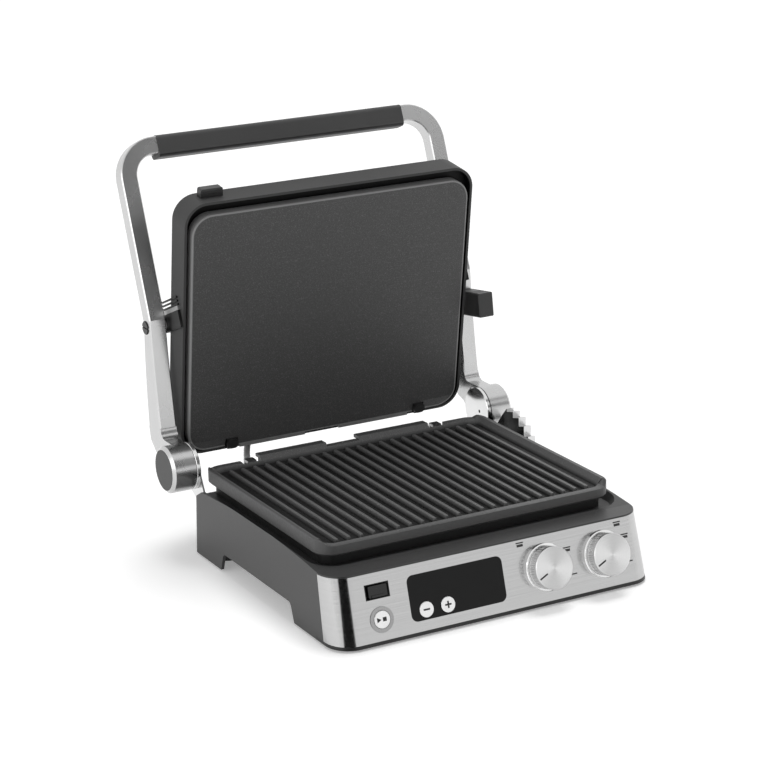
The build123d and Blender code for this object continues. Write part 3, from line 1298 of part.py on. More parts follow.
# ---- Every node -----------------------------------------------------------------------------
def build():
    """Make each node and return them by name."""
    outer = base_form(0.0, SKIRT_Z)
    inner = base_form(BASE_WALL, SKIRT_Z - 30)
    sheet = (outer - base_form(PANEL_T, SKIRT_Z - 30)) & panel_region()
    left_arm = arm()
    bore, face_cut = stop_bore()
    right_arm = mirror(left_arm, about=Plane.YZ) - bore - face_cut
    bracket = hinge_bracket()
    disc_left = pivot_discs()
    lid_bracket = pivot_bracket()
    return {
        "base_housing": base_housing(outer, inner, sheet),
        "bottom_cover": bottom_cover(),
        "feet": feet(),
        "bottom_screws": bottom_screws(),
        "front_panel": front_panel(sheet),
        "display_window": display_window(),
        "display_module": display_module(),
        "start_ring": start_ring(),
        "release_bezel": release_bezel(),
        "knob_flanges": knob_flanges(),
        "thermostats": thermostats(),
        "power_board": power_board(),
        "lower_reflector": lower_reflector(),
        "lower_element": lower_element(),
        "lower_clips": lower_clips(),
        "left_hinge_bracket": bracket,
        "right_hinge_bracket": mirror(bracket, about=Plane.YZ),
        "hinge_screws": hinge_screws(),
        "hinge_nuts": hinge_nuts(),
        "toothed_quadrant": toothed_quadrant(),
        "quadrant_screws": quadrant_screws(),
        "inlet_gland": inlet_gland(),
        "wiring_sleeve": wiring_sleeve(),
        "lower_plate": lower_plate(),
        "start_button": key_button(START_X, START_V, START_R),
        "minus_button": key_button(MINUS_X, KEY_V, KEY_R),
        "plus_button": key_button(PLUS_X, KEY_V, KEY_R),
        "lower_release": lower_release(),
        "knob_left": knob(KNOB_X[0]),
        "knob_right": knob(KNOB_X[1]),
        "knob_left_pointer": knob_pointer(KNOB_X[0]),
        "knob_right_pointer": knob_pointer(KNOB_X[1]),
        "left_arm": left_arm,
        "right_arm": largest(right_arm),
        "grip": grip(),
        "hinge_caps": hinge_caps(),
        "pivot_screws": pivot_screws(),
        "height_stop": height_stop(),
        "left_pivot_disc": disc_left,
        "right_pivot_disc": mirror(disc_left, about=Plane.YZ),
        "lid_housing": lid_housing(),
        "lid_cover": lid_cover(),
        "lid_screws": lid_screws(),
        "upper_reflector": upper_reflector(),
        "upper_element": upper_element(),
        "upper_clips": upper_clips(),
        "left_pivot_bracket": lid_bracket,
        "right_pivot_bracket": mirror(lid_bracket, about=Plane.YZ),
        "pivot_strips": pivot_strips(),
        "upper_plate": upper_plate(),
        "upper_release": upper_release(),
    }


def main():
    """Write one STEP file for each node."""
    os.makedirs("parts", exist_ok=True)
    for node, shape in build().items():
        export_step(shape, f"parts/{node}.step")


if __name__ == "__main__":
    main()
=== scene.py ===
"""Studio scene of a contact grill with a hinged lid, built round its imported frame."""

from __future__ import annotations

import logging
import math
from dataclasses import dataclass
from enum import Enum
from typing import Iterable, Sequence

import bmesh
import bpy
from bpy.types import ID, Material, Node, NodeInputs, NodeOutputs, NodeSocket, NodeTree, Object
from mathutils import Matrix, Vector

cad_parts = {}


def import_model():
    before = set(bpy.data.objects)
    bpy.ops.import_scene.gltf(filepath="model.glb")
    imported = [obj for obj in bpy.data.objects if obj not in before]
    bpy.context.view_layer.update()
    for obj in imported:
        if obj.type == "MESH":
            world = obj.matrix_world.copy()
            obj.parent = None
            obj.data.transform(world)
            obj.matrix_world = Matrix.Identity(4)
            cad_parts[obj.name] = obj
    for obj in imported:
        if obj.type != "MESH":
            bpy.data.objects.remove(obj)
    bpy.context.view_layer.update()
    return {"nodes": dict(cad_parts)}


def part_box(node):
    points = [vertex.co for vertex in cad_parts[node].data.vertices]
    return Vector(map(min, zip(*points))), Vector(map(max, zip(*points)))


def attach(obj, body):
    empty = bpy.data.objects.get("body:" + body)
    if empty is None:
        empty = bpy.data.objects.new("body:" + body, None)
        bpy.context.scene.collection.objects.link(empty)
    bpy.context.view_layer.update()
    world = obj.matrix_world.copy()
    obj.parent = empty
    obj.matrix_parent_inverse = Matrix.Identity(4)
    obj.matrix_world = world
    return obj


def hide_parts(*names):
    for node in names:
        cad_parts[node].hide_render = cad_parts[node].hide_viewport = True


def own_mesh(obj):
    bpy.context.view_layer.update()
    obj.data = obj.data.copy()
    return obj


LOG = logging.getLogger("grill")
MM = 0.001
FACE_TILT = math.radians(16.0)
LID_LEAN = math.radians(7.88)
LID_TURN = LID_LEAN + math.pi / 2
LID_MIDDLE = (0.0, 0.1634, 0.1968)  # middle of the upper plate's face
STEEL_CORNER = (-0.137, -0.119, 0.035)  # centre of the steel front's left corner
SAME_SPOT = 1e-6  # corners nearer than this are one
FLAT_WITHIN = 1e-5  # how far a button's front may be from flat
MIX_COLOURS = (6, 7)  # colour sockets of a mix node
MIX_RESULT = 2
BLACK = (0.0, 0.0, 0.0, 1.0)
WHITE = (1.0, 1.0, 1.0, 1.0)
LEAST_ROUGHNESS = 0.02
METAL_BUMP = 0.1 * MM  # what a bump's full height counts as
PLASTIC_BUMP = 0.2 * MM
COAT_BUMP = 0.3 * MM
EVEN = (0.35, 0.65)  # usual contrast of a grain
SHARP = (0.3, 0.7)
HOSE_SIDES = 20
RIB_SIDES = 8
ANY_DEPTH = 10.0  # farther than any piece reaches
Triple = tuple[float, float, float]  # a place, a turn or a colour
Pair = tuple[float, float]  # two coordinates, two ends or two offsets


# ---- Node helpers ----
class Graph:
    """Short-hand for adding and joining nodes in one tree."""

    def __init__(self, tree: NodeTree) -> None:
        """Keeps the tree that nodes are added to."""
        self.tree = tree

    def add(self, kind: str, **values: object) -> Node:
        """Adds a node of a kind, by Blender's identifier, and sets its attributes by name."""
        node = self.tree.nodes.new(kind)
        for name, value in values.items():
            setattr(node, name, value)
        return node

    def join(self, source: NodeSocket, target: NodeSocket) -> None:
        """Links an output socket to an input socket."""
        self.tree.links.new(source, target)

    def set(self, node: Node, **values: object) -> Node:
        """Sets inputs by name, with underscores for spaces, to values or links; returns the node."""
        for name, value in values.items():
            self.feed(value, node.inputs[name.replace("_", " ")])
        return node

    def feed(self, value: object, socket: NodeSocket) -> None:
        """Gives an input socket a link or a plain value."""
        if isinstance(value, NodeSocket):
            self.join(value, socket)
        else:
            socket.default_value = value

    def step(self, kind: str, operation: str, values: Sequence[object]) -> Node:
        """Adds one arithmetic node and feeds its terms in order, plain or linked."""
        node = self.add(kind, operation=operation)
        for value, socket in zip(values, node.inputs):
            self.feed(value, socket)
        return node

    def calculate(self, operation: str, *values: object) -> NodeSocket:
        """Adds one step of arithmetic on numbers and returns its result."""
        return self.step("ShaderNodeMath", operation, values).outputs["Value"]

    def combine(self, operation: str, *values: object) -> NodeSocket:
        """Adds one step of arithmetic on vectors and returns its result."""
        return self.step("ShaderNodeVectorMath", operation, values).outputs["Vector"]

    def length(self, vector: NodeSocket) -> NodeSocket:
        """Returns a vector's length."""
        return self.step("ShaderNodeVectorMath", "LENGTH", (vector,)).outputs["Value"]

    def remap(
        self,
        value: NodeSocket,
        source: tuple[object, object] = (0.0, 1.0),
        target: Pair = (0.0, 1.0),
    ) -> NodeSocket:
        """Maps one range onto another and holds the result inside it.

        Args:
            value: what is mapped.
            source: its range, plain or linked.
            target: the range that comes out.

        Returns:
            The result.
        """
        node = self.add("ShaderNodeMapRange")
        low, high = source
        self.set(node, Value=value, From_Min=low, From_Max=high, To_Min=target[0], To_Max=target[1])
        return node.outputs["Result"]

    def coat(self, geometry: NodeSocket, material: NodeSocket) -> NodeSocket:
        """Makes instances real and gives all of the geometry one material."""
        real = self.add("GeometryNodeRealizeInstances")
        self.join(geometry, real.inputs["Geometry"])
        coated = self.add("GeometryNodeSetMaterial")
        self.set(coated, Geometry=real.outputs["Geometry"], Material=material)
        return coated.outputs["Geometry"]


def new_group(
    name: str, kind: str, inputs: dict[str, tuple[str, object]], outputs: dict[str, str]
) -> tuple[Graph, NodeOutputs, NodeInputs]:
    """Makes a node group with named sockets.

    Args:
        name: the group's name.
        kind: "Shader" or "Geometry".
        inputs: what a socket carries, such as "Float", and its default, by socket name.
        outputs: what a socket carries, by socket name.

    Returns:
        The group's Graph, what it is given and what it has to put out, both by socket name.
    """
    tree = bpy.data.node_groups.new(name, f"{kind}NodeTree")
    for label, (carried, default) in inputs.items():
        socket = tree.interface.new_socket(label, in_out="INPUT", socket_type=f"NodeSocket{carried}")
        if default is not None:
            socket.default_value = default
    for label, carried in outputs.items():
        tree.interface.new_socket(label, in_out="OUTPUT", socket_type=f"NodeSocket{carried}")
    graph = Graph(tree)
    return graph, graph.add("NodeGroupInput").outputs, graph.add("NodeGroupOutput").inputs


def grain_group() -> NodeTree:
    """Fine even grain: a mask from 0 to 1 and the same as a height."""
    graph, given, result = new_group(
        "fine_grain",
        "Shader",
        {
            "Vector": ("Vector", None),
            "Scale": ("Float", 1500.0),
            "Low": ("Float", EVEN[0]),
            "High": ("Float", EVEN[1]),
        },
        {"Mask": "Float", "Height": "Float"},
    )
    noise = graph.add("ShaderNodeTexNoise")
    graph.set(noise, Vector=given["Vector"], Scale=given["Scale"], Detail=3.0)
    graph.join(graph.remap(noise.outputs["Fac"], (given["Low"], given["High"])), result["Mask"])
    graph.join(noise.outputs["Fac"], result["Height"])
    return graph.tree


def streak_group() -> NodeTree:
    """Brushing: long fine lines, where the stretch says how long they are along each axis."""
    graph, given, result = new_group(
        "brushing",
        "Shader",
        {
            "Vector": ("Vector", None),
            "Stretch": ("Vector", (30.0, 30.0, 2500.0)),
        },
        {"Line": "Float", "Height": "Float"},
    )
    scaled = graph.combine("MULTIPLY", given["Vector"], given["Stretch"])
    fine = graph.add("ShaderNodeTexNoise")
    graph.set(fine, Vector=scaled, Scale=1.0, Detail=4.0)
    graph.join(graph.remap(fine.outputs["Fac"], SHARP), result["Line"])
    graph.join(fine.outputs["Fac"], result["Height"])
    return graph.tree


def contour_group() -> NodeTree:
    """Mask of what lies inside a rounded rectangle and between two depths along its normal."""
    graph, given, result = new_group(
        "contour_mask",
        "Shader",
        {
            "Vector": ("Vector", None),
            "Centre": ("Vector", None),
            "Turn": ("Vector", None),
            "Reach": ("Vector", (0.1, 0.1, ANY_DEPTH)),
            "Edge": ("Float", 0.01),
            "Soft": ("Float", 0.0003),
            "Deepest": ("Float", -1.0),
            "Highest": ("Float", 1.0),
        },
        {"Inside": "Float"},
    )
    local = graph.add("ShaderNodeMapping", vector_type="TEXTURE")
    graph.set(local, Vector=given["Vector"], Location=given["Centre"], Rotation=given["Turn"])
    folded = graph.combine("ABSOLUTE", local.outputs["Vector"])
    beyond = graph.combine("SUBTRACT", folded, given["Reach"])
    outer = graph.length(graph.combine("MAXIMUM", beyond))
    parts = graph.add("ShaderNodeSeparateXYZ")
    graph.join(beyond, parts.inputs["Vector"])
    farther = graph.calculate("MAXIMUM", parts.outputs["X"], parts.outputs["Y"])
    distance = graph.calculate("ADD", outer, graph.calculate("MINIMUM", farther, 0.0))
    end = graph.calculate("ADD", given["Edge"], given["Soft"])
    band = graph.remap(distance, (given["Edge"], end), (1.0, 0.0))
    depth = graph.add("ShaderNodeSeparateXYZ")
    graph.join(local.outputs["Vector"], depth.inputs["Vector"])
    above = graph.calculate("GREATER_THAN", depth.outputs["Z"], given["Deepest"])
    below = graph.calculate("LESS_THAN", depth.outputs["Z"], given["Highest"])
    level = graph.calculate("MULTIPLY", above, below)
    graph.join(graph.calculate("MULTIPLY", level, band), result["Inside"])
    return graph.tree


class SharedGroup(Enum):
    """Shader groups that several finishes use."""

    GRAIN = "fine_grain"
    STREAK = "brushing"
    CONTOUR = "contour_mask"

    def tree(self) -> NodeTree:
        """Returns the group, built on first use."""
        makers = {
            SharedGroup.GRAIN: grain_group,
            SharedGroup.STREAK: streak_group,
            SharedGroup.CONTOUR: contour_group,
        }
        return bpy.data.node_groups.get(self.value) or makers[self]()


class Shader:
    """One material in the making: its graph, its Principled shader and its object coordinates."""

    def __init__(self, name: str) -> None:
        """Starts an empty material of that name."""
        self.material = bpy.data.materials.new(name)
        self.material.use_nodes = True
        self.graph = Graph(self.material.node_tree)
        self.surface = self.material.node_tree.nodes["Principled BSDF"]
        self.place = self.graph.add("ShaderNodeTexCoord").outputs["Object"]

    def fix(self, **values: object) -> None:
        """Sets sockets of the Principled shader by name, with underscores for spaces."""
        self.graph.set(self.surface, **values)

    def group(self, shared: SharedGroup, **values: object) -> Node:
        """Places a shared group and sets its inputs."""
        node = self.graph.add("ShaderNodeGroup", node_tree=shared.tree())
        if "Vector" not in values:
            values["Vector"] = self.place
        return self.graph.set(node, **values)

    def mix(self, mask: NodeSocket, low: Triple | NodeSocket, high: Triple | NodeSocket) -> NodeSocket:
        """Mixes two colours by a mask.

        Args:
            mask: 0 for the first colour and 1 for the second.
            low: the first colour, plain or linked.
            high: the second colour, plain or linked.

        Returns:
            The mixed colour.
        """
        node = self.graph.add("ShaderNodeMix", data_type="RGBA")
        self.graph.join(mask, node.inputs["Factor"])
        for index, colour in zip(MIX_COLOURS, (low, high)):
            given = colour if isinstance(colour, NodeSocket) else (*colour, 1.0)
            self.graph.feed(given, node.inputs[index])
        return node.outputs[MIX_RESULT]

    def greys(self, mask: NodeSocket, value: float, shares: Pair) -> NodeSocket:
        """Mixes two greys by a mask, each a share of one value."""
        low, high = shares
        return self.mix(mask, shade(value * low), shade(value * high))

    def tint(self, colour: NodeSocket) -> None:
        """Feeds the base colour."""
        self.graph.join(colour, self.surface.inputs["Base Color"])

    def grain(self, scale: float, contrast: Pair = EVEN) -> Node:
        """Places the shared grain at a scale and with a contrast."""
        low, high = contrast
        return self.group(SharedGroup.GRAIN, Scale=scale, Low=low, High=high)

    def along(self, axis: str, start: float, end: float) -> NodeSocket:
        """Value that rises from 0 to 1 between two places along an object axis."""
        split = self.graph.add("ShaderNodeSeparateXYZ")
        self.graph.join(self.place, split.inputs["Vector"])
        return self.graph.remap(split.outputs[axis], (start, end))

    def spread(self, mask: NodeSocket, socket: str, low: float, high: float) -> None:
        """Maps a mask from 0 to 1 onto a range that feeds a socket of the shader."""
        self.graph.join(self.graph.remap(mask, target=(low, high)), self.surface.inputs[socket])

    def rough(self, mask: NodeSocket, middle: float, band: Pair) -> None:
        """Varies the roughness by a mask round its middle, never down to a perfect mirror."""
        below, above = band
        self.spread(mask, "Roughness", max(middle + below, LEAST_ROUGHNESS), middle + above)

    def bump(self, height: NodeSocket, strength: float, distance: float) -> None:
        """Feeds a height to the shader's normal."""
        node = self.graph.add("ShaderNodeBump")
        self.graph.set(node, Height=height, Strength=strength, Distance=distance)
        self.graph.join(node.outputs["Normal"], self.surface.inputs["Normal"])


@dataclass(frozen=True)
class Contour:
    """Rounded rectangle on a plane turned about X, kept between two depths along its normal."""

    centre: Triple
    turn: float
    half: Pair
    corner: float
    depth: Pair = (-1.0, 1.0)

    def inside(self, shader: Shader) -> NodeSocket:
        """Mask that is 1 inside it."""
        reach = (self.half[0] - self.corner, self.half[1] - self.corner, ANY_DEPTH)
        values = {"Centre": self.centre, "Turn": (self.turn, 0.0, 0.0), "Reach": reach}
        lowest, highest = self.depth
        node = shader.group(
            SharedGroup.CONTOUR, Edge=self.corner, Deepest=lowest, Highest=highest, **values
        )
        return node.outputs["Inside"]


# ---- Finishes ----
def shade(value: float) -> Triple:
    """Grey of a given linear value."""
    return (value, value, value)


@dataclass(frozen=True)
class MouldedPlastic:
    """Satin moulded plastic with a fine spark-eroded grain."""

    name: str
    value: float
    roughness: float = 0.42
    grain_scale: float = 2200.0
    grain: float = 0.12
    specular: float = 0.5
    # Where the colour turns to dark_value: painted shade on the base's front band and in the lid's recess;
    # the grip's darker underside.
    dark_part: Contour | None = None
    dark_value: float = 0.004
    cloud_scale: float = 14.0
    mottle: Pair = (0.94, 1.06)
    gloss_band: Pair = (-0.04, 0.05)

    def make(self) -> Material:
        """Builds the material."""
        shader = Shader(self.name)
        grain = shader.grain(self.grain_scale)
        cloud = shader.grain(self.cloud_scale)
        colour = shader.greys(cloud.outputs["Mask"], self.value, self.mottle)
        if self.dark_part:
            colour = shader.mix(self.dark_part.inside(shader), colour, shade(self.dark_value))
        shader.tint(colour)
        shader.rough(grain.outputs["Mask"], self.roughness, self.gloss_band)
        shader.fix(Specular_IOR_Level=self.specular)
        shader.bump(grain.outputs["Height"], self.grain, PLASTIC_BUMP)
        return shader.material


@dataclass(frozen=True)
class CookingCoat:
    """Dark non-stick coating with fine lighter flecks and a faint mottle; it can also carry painted shade
    in rib valleys and a painted highlight on its rim.
    """

    name: str
    value: float = 0.035
    fleck_value: float = 0.11
    roughness: float = 0.5
    valley_shade_band: Pair | None = None  # heights over which painted shade in the rib valleys gives way to the coat
    valley_shade_value: float = 0.006
    face: Contour | None = None  # outside it the coat has its rim highlight value, a painted highlight on the plate's bevelled rim
    rim_highlight_value: float = 0.08
    fleck_scale: float = 1300.0
    fleck_contrast: Pair = (0.52, 0.72)
    body_scale: float = 420.0
    body_bump: float = 0.35
    gloss_band: Pair = (-0.07, 0.07)

    def make(self) -> Material:
        """Builds the material."""
        shader = Shader(self.name)
        fleck = shader.grain(self.fleck_scale, self.fleck_contrast)
        body = shader.grain(self.body_scale, SHARP)
        coat = shader.mix(fleck.outputs["Mask"], shade(self.value), shade(self.fleck_value))
        # Painted shade: the coat darkens down into the rib valleys.
        if self.valley_shade_band:
            height = shader.along("Z", *self.valley_shade_band)
            coat = shader.mix(height, shade(self.valley_shade_value), coat)
        # Painted highlight: the rim outside the face gets its own lighter value.
        if self.face:
            coat = shader.mix(self.face.inside(shader), shade(self.rim_highlight_value), coat)
        shader.tint(coat)
        shader.rough(body.outputs["Mask"], self.roughness, self.gloss_band)
        shader.bump(body.outputs["Height"], self.body_bump, COAT_BUMP)
        return shader.material


@dataclass(frozen=True)
class BrushedSteel:
    """Steel with long brushing lines along one direction."""

    name: str
    value: float = 0.62
    roughness: float = 0.3
    stretch: Triple = (12.0, 12.0, 3200.0)
    depth: float = 0.1
    mottle: Pair = (0.93, 1.05)
    gloss_band: Pair = (-0.05, 0.06)

    def make(self) -> Material:
        """Builds the material."""
        shader = Shader(self.name)
        shader.fix(Metallic=1.0)
        lines = shader.group(SharedGroup.STREAK, Stretch=self.stretch)
        shader.tint(shader.greys(lines.outputs["Line"], self.value, self.mottle))
        shader.rough(lines.outputs["Line"], self.roughness, self.gloss_band)
        shader.bump(lines.outputs["Height"], self.depth, METAL_BUMP)
        return shader.material


@dataclass(frozen=True)
class Metal:
    """Cast or polished metal with a fine even grain."""

    name: str
    value: float
    roughness: float
    grain: float = 0.05
    grain_scale: float = 1800.0
    cloud_scale: float = 30.0
    mottle: Pair = (0.97, 1.02)
    gloss_band: Pair = (-0.03, 0.03)
    plain_band: Pair = (0.0, 0.02)  # where there is no grain

    def make(self) -> Material:
        """Builds the material."""
        shader = Shader(self.name)
        shader.fix(Metallic=1.0)
        cloud = shader.grain(self.cloud_scale)
        shader.tint(shader.greys(cloud.outputs["Mask"], self.value, self.mottle))
        if self.grain:
            grain = shader.grain(self.grain_scale)
            shader.rough(grain.outputs["Mask"], self.roughness, self.gloss_band)
            shader.bump(grain.outputs["Height"], self.grain, METAL_BUMP)
        else:
            shader.rough(cloud.outputs["Mask"], self.roughness, self.plain_band)
        return shader.material


@dataclass(frozen=True)
class ShadedMetal:
    """Metal with one darkened face, up to a place along X."""

    name: str
    value: float
    dark_value: float
    edge: float
    roughness: float = 0.3
    specular: float = 0.2
    grain: float = 0.06
    grain_scale: float = 1800.0
    fade: float = 0.1 * MM
    gloss_band: Pair = (-0.03, 0.04)

    def make(self) -> Material:
        """Builds the material."""
        shader = Shader(self.name)
        grain = shader.grain(self.grain_scale)
        side = shader.along("X", self.edge, self.edge + self.fade)
        shader.tint(shader.mix(side, shade(self.dark_value), shade(self.value)))
        shader.spread(side, "Metallic", 0.0, 1.0)
        shader.fix(Specular_IOR_Level=self.specular)
        shader.rough(grain.outputs["Mask"], self.roughness, self.gloss_band)
        shader.bump(grain.outputs["Height"], self.grain, METAL_BUMP)
        return shader.material


@dataclass(frozen=True)
class SpunMetal:
    """Turned metal with fine rings round an axis through a point, and painted sheen in sectors round it."""

    name: str
    centre: Triple
    tilt: float
    value: float = 0.78
    dark: float = 0.62
    roughness: float = 0.28
    sheen_start: float = 0.6
    ring_scale: float = 4200.0
    ring_share: float = 0.35  # the painted sheen sectors make up the rest of the light and dark
    ring_bump: float = 0.3
    gloss_band: Pair = (-0.06, 0.08)

    def make(self) -> Material:
        """Builds the material."""
        shader = Shader(self.name)
        shader.fix(Metallic=1.0)
        graph = shader.graph
        moved = graph.add("ShaderNodeMapping", vector_type="TEXTURE")
        turn = (math.pi / 2 - self.tilt, 0.0, 0.0)
        graph.set(moved, Vector=shader.place, Location=self.centre, Rotation=turn)
        flat = graph.combine("MULTIPLY", moved.outputs["Vector"], (1.0, 1.0, 0.0))
        rings = graph.add("ShaderNodeTexNoise", noise_dimensions="1D")
        graph.set(rings, W=graph.length(flat), Scale=self.ring_scale, Detail=2.0)
        sheen = self.painted_sheen(graph, moved.outputs["Vector"])
        mixed = graph.calculate("MULTIPLY_ADD", rings.outputs["Fac"], self.ring_share, sheen)
        shader.tint(shader.greys(mixed, self.value, (self.dark, 1.0)))
        shader.rough(rings.outputs["Fac"], self.roughness, self.gloss_band)
        shader.bump(rings.outputs["Fac"], self.ring_bump, METAL_BUMP)
        return shader.material

    def painted_sheen(self, graph: Graph, vector: NodeSocket) -> NodeSocket:
        """Painted sheen: two pairs of light and dark sectors round the axis, standing in for the highlights
        of a turned face.

        Args:
            graph: the material's graph.
            vector: position in the face's own axes.

        Returns:
            A value from 0 to the sectors' share.
        """
        sweep = graph.add("ShaderNodeTexGradient", gradient_type="RADIAL")
        graph.join(vector, sweep.inputs["Vector"])
        wave = graph.calculate("MULTIPLY_ADD", sweep.outputs["Fac"], 2 * math.tau, self.sheen_start)
        return graph.remap(graph.calculate("COSINE", wave), (-1.0, 1.0), (0.0, 1.0 - self.ring_share))


@dataclass(frozen=True)
class DisplayGloss:
    """Dark gloss window."""

    name: str = "display_gloss"
    value: float = 0.005
    roughness: float = 0.18
    specular: float = 0.2
    cloud_scale: float = 60.0
    mottle: Pair = (0.9, 1.1)
    gloss_band: Pair = (-0.02, 0.02)

    def make(self) -> Material:
        """Builds the material."""
        shader = Shader(self.name)
        cloud = shader.grain(self.cloud_scale)
        shader.tint(shader.greys(cloud.outputs["Mask"], self.value, self.mottle))
        shader.rough(cloud.outputs["Mask"], self.roughness, self.gloss_band)
        shader.fix(Specular_IOR_Level=self.specular)
        return shader.material


@dataclass(frozen=True)
class SoftRubber:
    """Matt rubber with a dusty fine grain."""

    name: str
    value: float = 0.02
    roughness: float = 0.7
    grain: float = 0.2
    grain_scale: float = 2600.0
    mottle: Pair = (0.8, 1.4)
    gloss_band: Pair = (-0.08, 0.1)

    def make(self) -> Material:
        """Builds the material."""
        shader = Shader(self.name)
        grain = shader.grain(self.grain_scale)
        shader.tint(shader.greys(grain.outputs["Mask"], self.value, self.mottle))
        shader.rough(grain.outputs["Mask"], self.roughness, self.gloss_band)
        shader.bump(grain.outputs["Height"], self.grain, PLASTIC_BUMP)
        return shader.material


# ---- Mesh helpers ----
def add_object(name: str, data: ID) -> Object:
    """Puts a mesh, curve, lamp or camera into the scene as a new object at the origin."""
    holder = bpy.data.objects.new(name, data)
    bpy.context.collection.objects.link(holder)
    return holder


def finish_mesh(name: str, mesh: bmesh.types.BMesh) -> Object:
    """Turns a bmesh into a flat-shaded object at the origin, with its faces pointing outwards.

    Args:
        name: the piece's name.
        mesh: its geometry, freed here.

    Returns:
        The new object.
    """
    bmesh.ops.remove_doubles(mesh, verts=mesh.verts, dist=SAME_SPOT)
    bmesh.ops.recalc_face_normals(mesh, faces=mesh.faces)
    data = bpy.data.meshes.new(name)
    mesh.to_mesh(data)
    mesh.free()
    return add_object(name, data)


def dress(piece: Object, material: Material) -> None:
    """Gives a piece one material in every slot."""
    if not piece.data.materials:
        piece.data.materials.append(material)
    for slot in piece.material_slots:
        slot.material = material


class FacePlane:
    """The sloping front face: x across it, v up it and its outward normal."""

    def __init__(self, panel: Object) -> None:
        """Finds the face from the steel sheet's own mesh."""
        self.up = Vector((0.0, math.sin(FACE_TILT), math.cos(FACE_TILT)))
        self.out = Vector((0.0, -math.cos(FACE_TILT), math.sin(FACE_TILT)))
        self.level = self.depth_of(panel)

    def depth_of(self, piece: Object) -> float:
        """How far out along the normal a piece reaches."""
        return max(vertex.co.dot(self.out) for vertex in piece.data.vertices)

    def centre_of(self, node: str) -> Pair:
        """Middle of a CAD node on the face, as x and v."""
        low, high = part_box(node)
        middle = (Vector(low) + Vector(high)) / 2
        return middle.x, middle.dot(self.up)

    def point(self, x: float, v: float, level: float) -> Vector:
        """Point at x and v, at a level along the normal."""
        return Vector((x, 0.0, 0.0)) + self.up * v + self.out * level


Outline = Sequence[Pair]


@dataclass
class Inlay:
    """Thin flat marks set on a face, each from an outline in millimetres."""

    plane: FacePlane
    thickness: float = 0.12 * MM
    sink: float = 0.05 * MM

    def build(self, name: str, marks: Iterable[tuple[Outline, float, float, float]]) -> Object:
        """Builds the marks as one piece.

        Args:
            name: the piece's name.
            marks: outline, centre x, centre v and level of each mark.

        Returns:
            The piece.
        """
        mesh = bmesh.new()
        for outline, x, v, level in marks:
            low = [self.plane.point(x + a * MM, v + b * MM, level - self.sink) for a, b in outline]
            bottom = [mesh.verts.new(spot) for spot in low]
            top = [mesh.verts.new(spot + self.plane.out * (self.thickness + self.sink)) for spot in low]
            mesh.faces.new(bottom)
            mesh.faces.new(list(reversed(top)))
            count = len(outline)
            for index in range(count):
                after = (index + 1) % count
                mesh.faces.new((bottom[index], bottom[after], top[after], top[index]))
        return finish_mesh(name, mesh)


def rectangle(width: float, height: float, x: float = 0.0, v: float = 0.0) -> Outline:
    """Rectangle outline round a point."""
    a, b = width / 2, height / 2
    return [(x - a, v - b), (x + a, v - b), (x + a, v + b), (x - a, v + b)]


def plus_outline(size: float, width: float) -> Outline:
    """Outline of a plus sign."""
    a, b = size / 2, width / 2
    quarter = [(-a, -b), (-b, -b), (-b, -a)]
    outline = list(quarter)
    for _ in range(3):
        quarter = [(-v, x) for x, v in quarter]
        outline += quarter
    return outline


def hose_tree() -> NodeTree:
    """Geometry tree that skins a path with a round tube, thicker at every second point.

    The tree's inputs are the path's point count, the tube's radius and how far each ring stands out.
    """
    graph, given, result = new_group(
        "corrugated_hose",
        "Geometry",
        {
            "Geometry": ("Geometry", None),
            "Rings": ("Int", 40),
            "Radius": ("Float", 0.0036),
            "Depth": ("Float", 0.0005),
            "Material": ("Material", None),
        },
        {"Geometry": "Geometry"},
    )
    points = graph.add("GeometryNodeResampleCurve", mode="COUNT")
    graph.set(points, Curve=given["Geometry"], Count=given["Rings"])
    index = graph.add("GeometryNodeInputIndex").outputs["Index"]
    wave = graph.calculate("MODULO", index, 2.0)
    lift = graph.calculate("MULTIPLY_ADD", wave, given["Depth"], given["Radius"])
    sized = graph.add("GeometryNodeSetCurveRadius")
    graph.set(sized, Curve=points.outputs["Curve"], Radius=lift)
    ring = graph.add("GeometryNodeCurvePrimitiveCircle", mode="RADIUS")
    graph.set(ring, Resolution=HOSE_SIDES, Radius=1.0)
    skin = graph.add("GeometryNodeCurveToMesh")
    graph.set(skin, Curve=sized.outputs["Curve"], Profile_Curve=ring.outputs["Curve"], Fill_Caps=True)
    if "Scale" in skin.inputs:
        radius = graph.add("GeometryNodeInputRadius")
        graph.join(radius.outputs["Radius"], skin.inputs["Scale"])
    graph.join(graph.coat(skin.outputs["Mesh"], given["Material"]), result["Geometry"])
    return graph.tree


def rib_ring_tree() -> NodeTree:
    """Geometry tree that sets fine round ribs side by side round an axis.

    It takes nothing of its carrier's mesh. The ring's place and turn and the ribs' count and sizes
    are its inputs.
    """
    graph, given, result = new_group(
        "knob_flutes",
        "Geometry",
        {
            "Geometry": ("Geometry", None),
            "Count": ("Int", 72),
            "Ring Radius": ("Float", 0.0187),
            "Rib Radius": ("Float", 0.0005),
            "Rib Length": ("Float", 0.007),
            "Centre": ("Vector", None),
            "Turn": ("Vector", None),
            "Material": ("Material", None),
        },
        {"Geometry": "Geometry"},
    )
    ring = graph.add("GeometryNodeMeshCircle")
    graph.set(ring, Vertices=given["Count"], Radius=given["Ring Radius"])
    rib = graph.add("GeometryNodeMeshCylinder")
    graph.set(rib, Vertices=RIB_SIDES, Radius=given["Rib Radius"], Depth=given["Rib Length"])
    copies = graph.add("GeometryNodeInstanceOnPoints")
    graph.set(copies, Points=ring.outputs["Mesh"], Instance=rib.outputs["Mesh"])
    placed = graph.add("GeometryNodeTransform")
    graph.set(placed, Geometry=copies.outputs["Instances"])
    graph.set(placed, Translation=given["Centre"], Rotation=given["Turn"])
    graph.join(graph.coat(placed.outputs["Geometry"], given["Material"]), result["Geometry"])
    return graph.tree


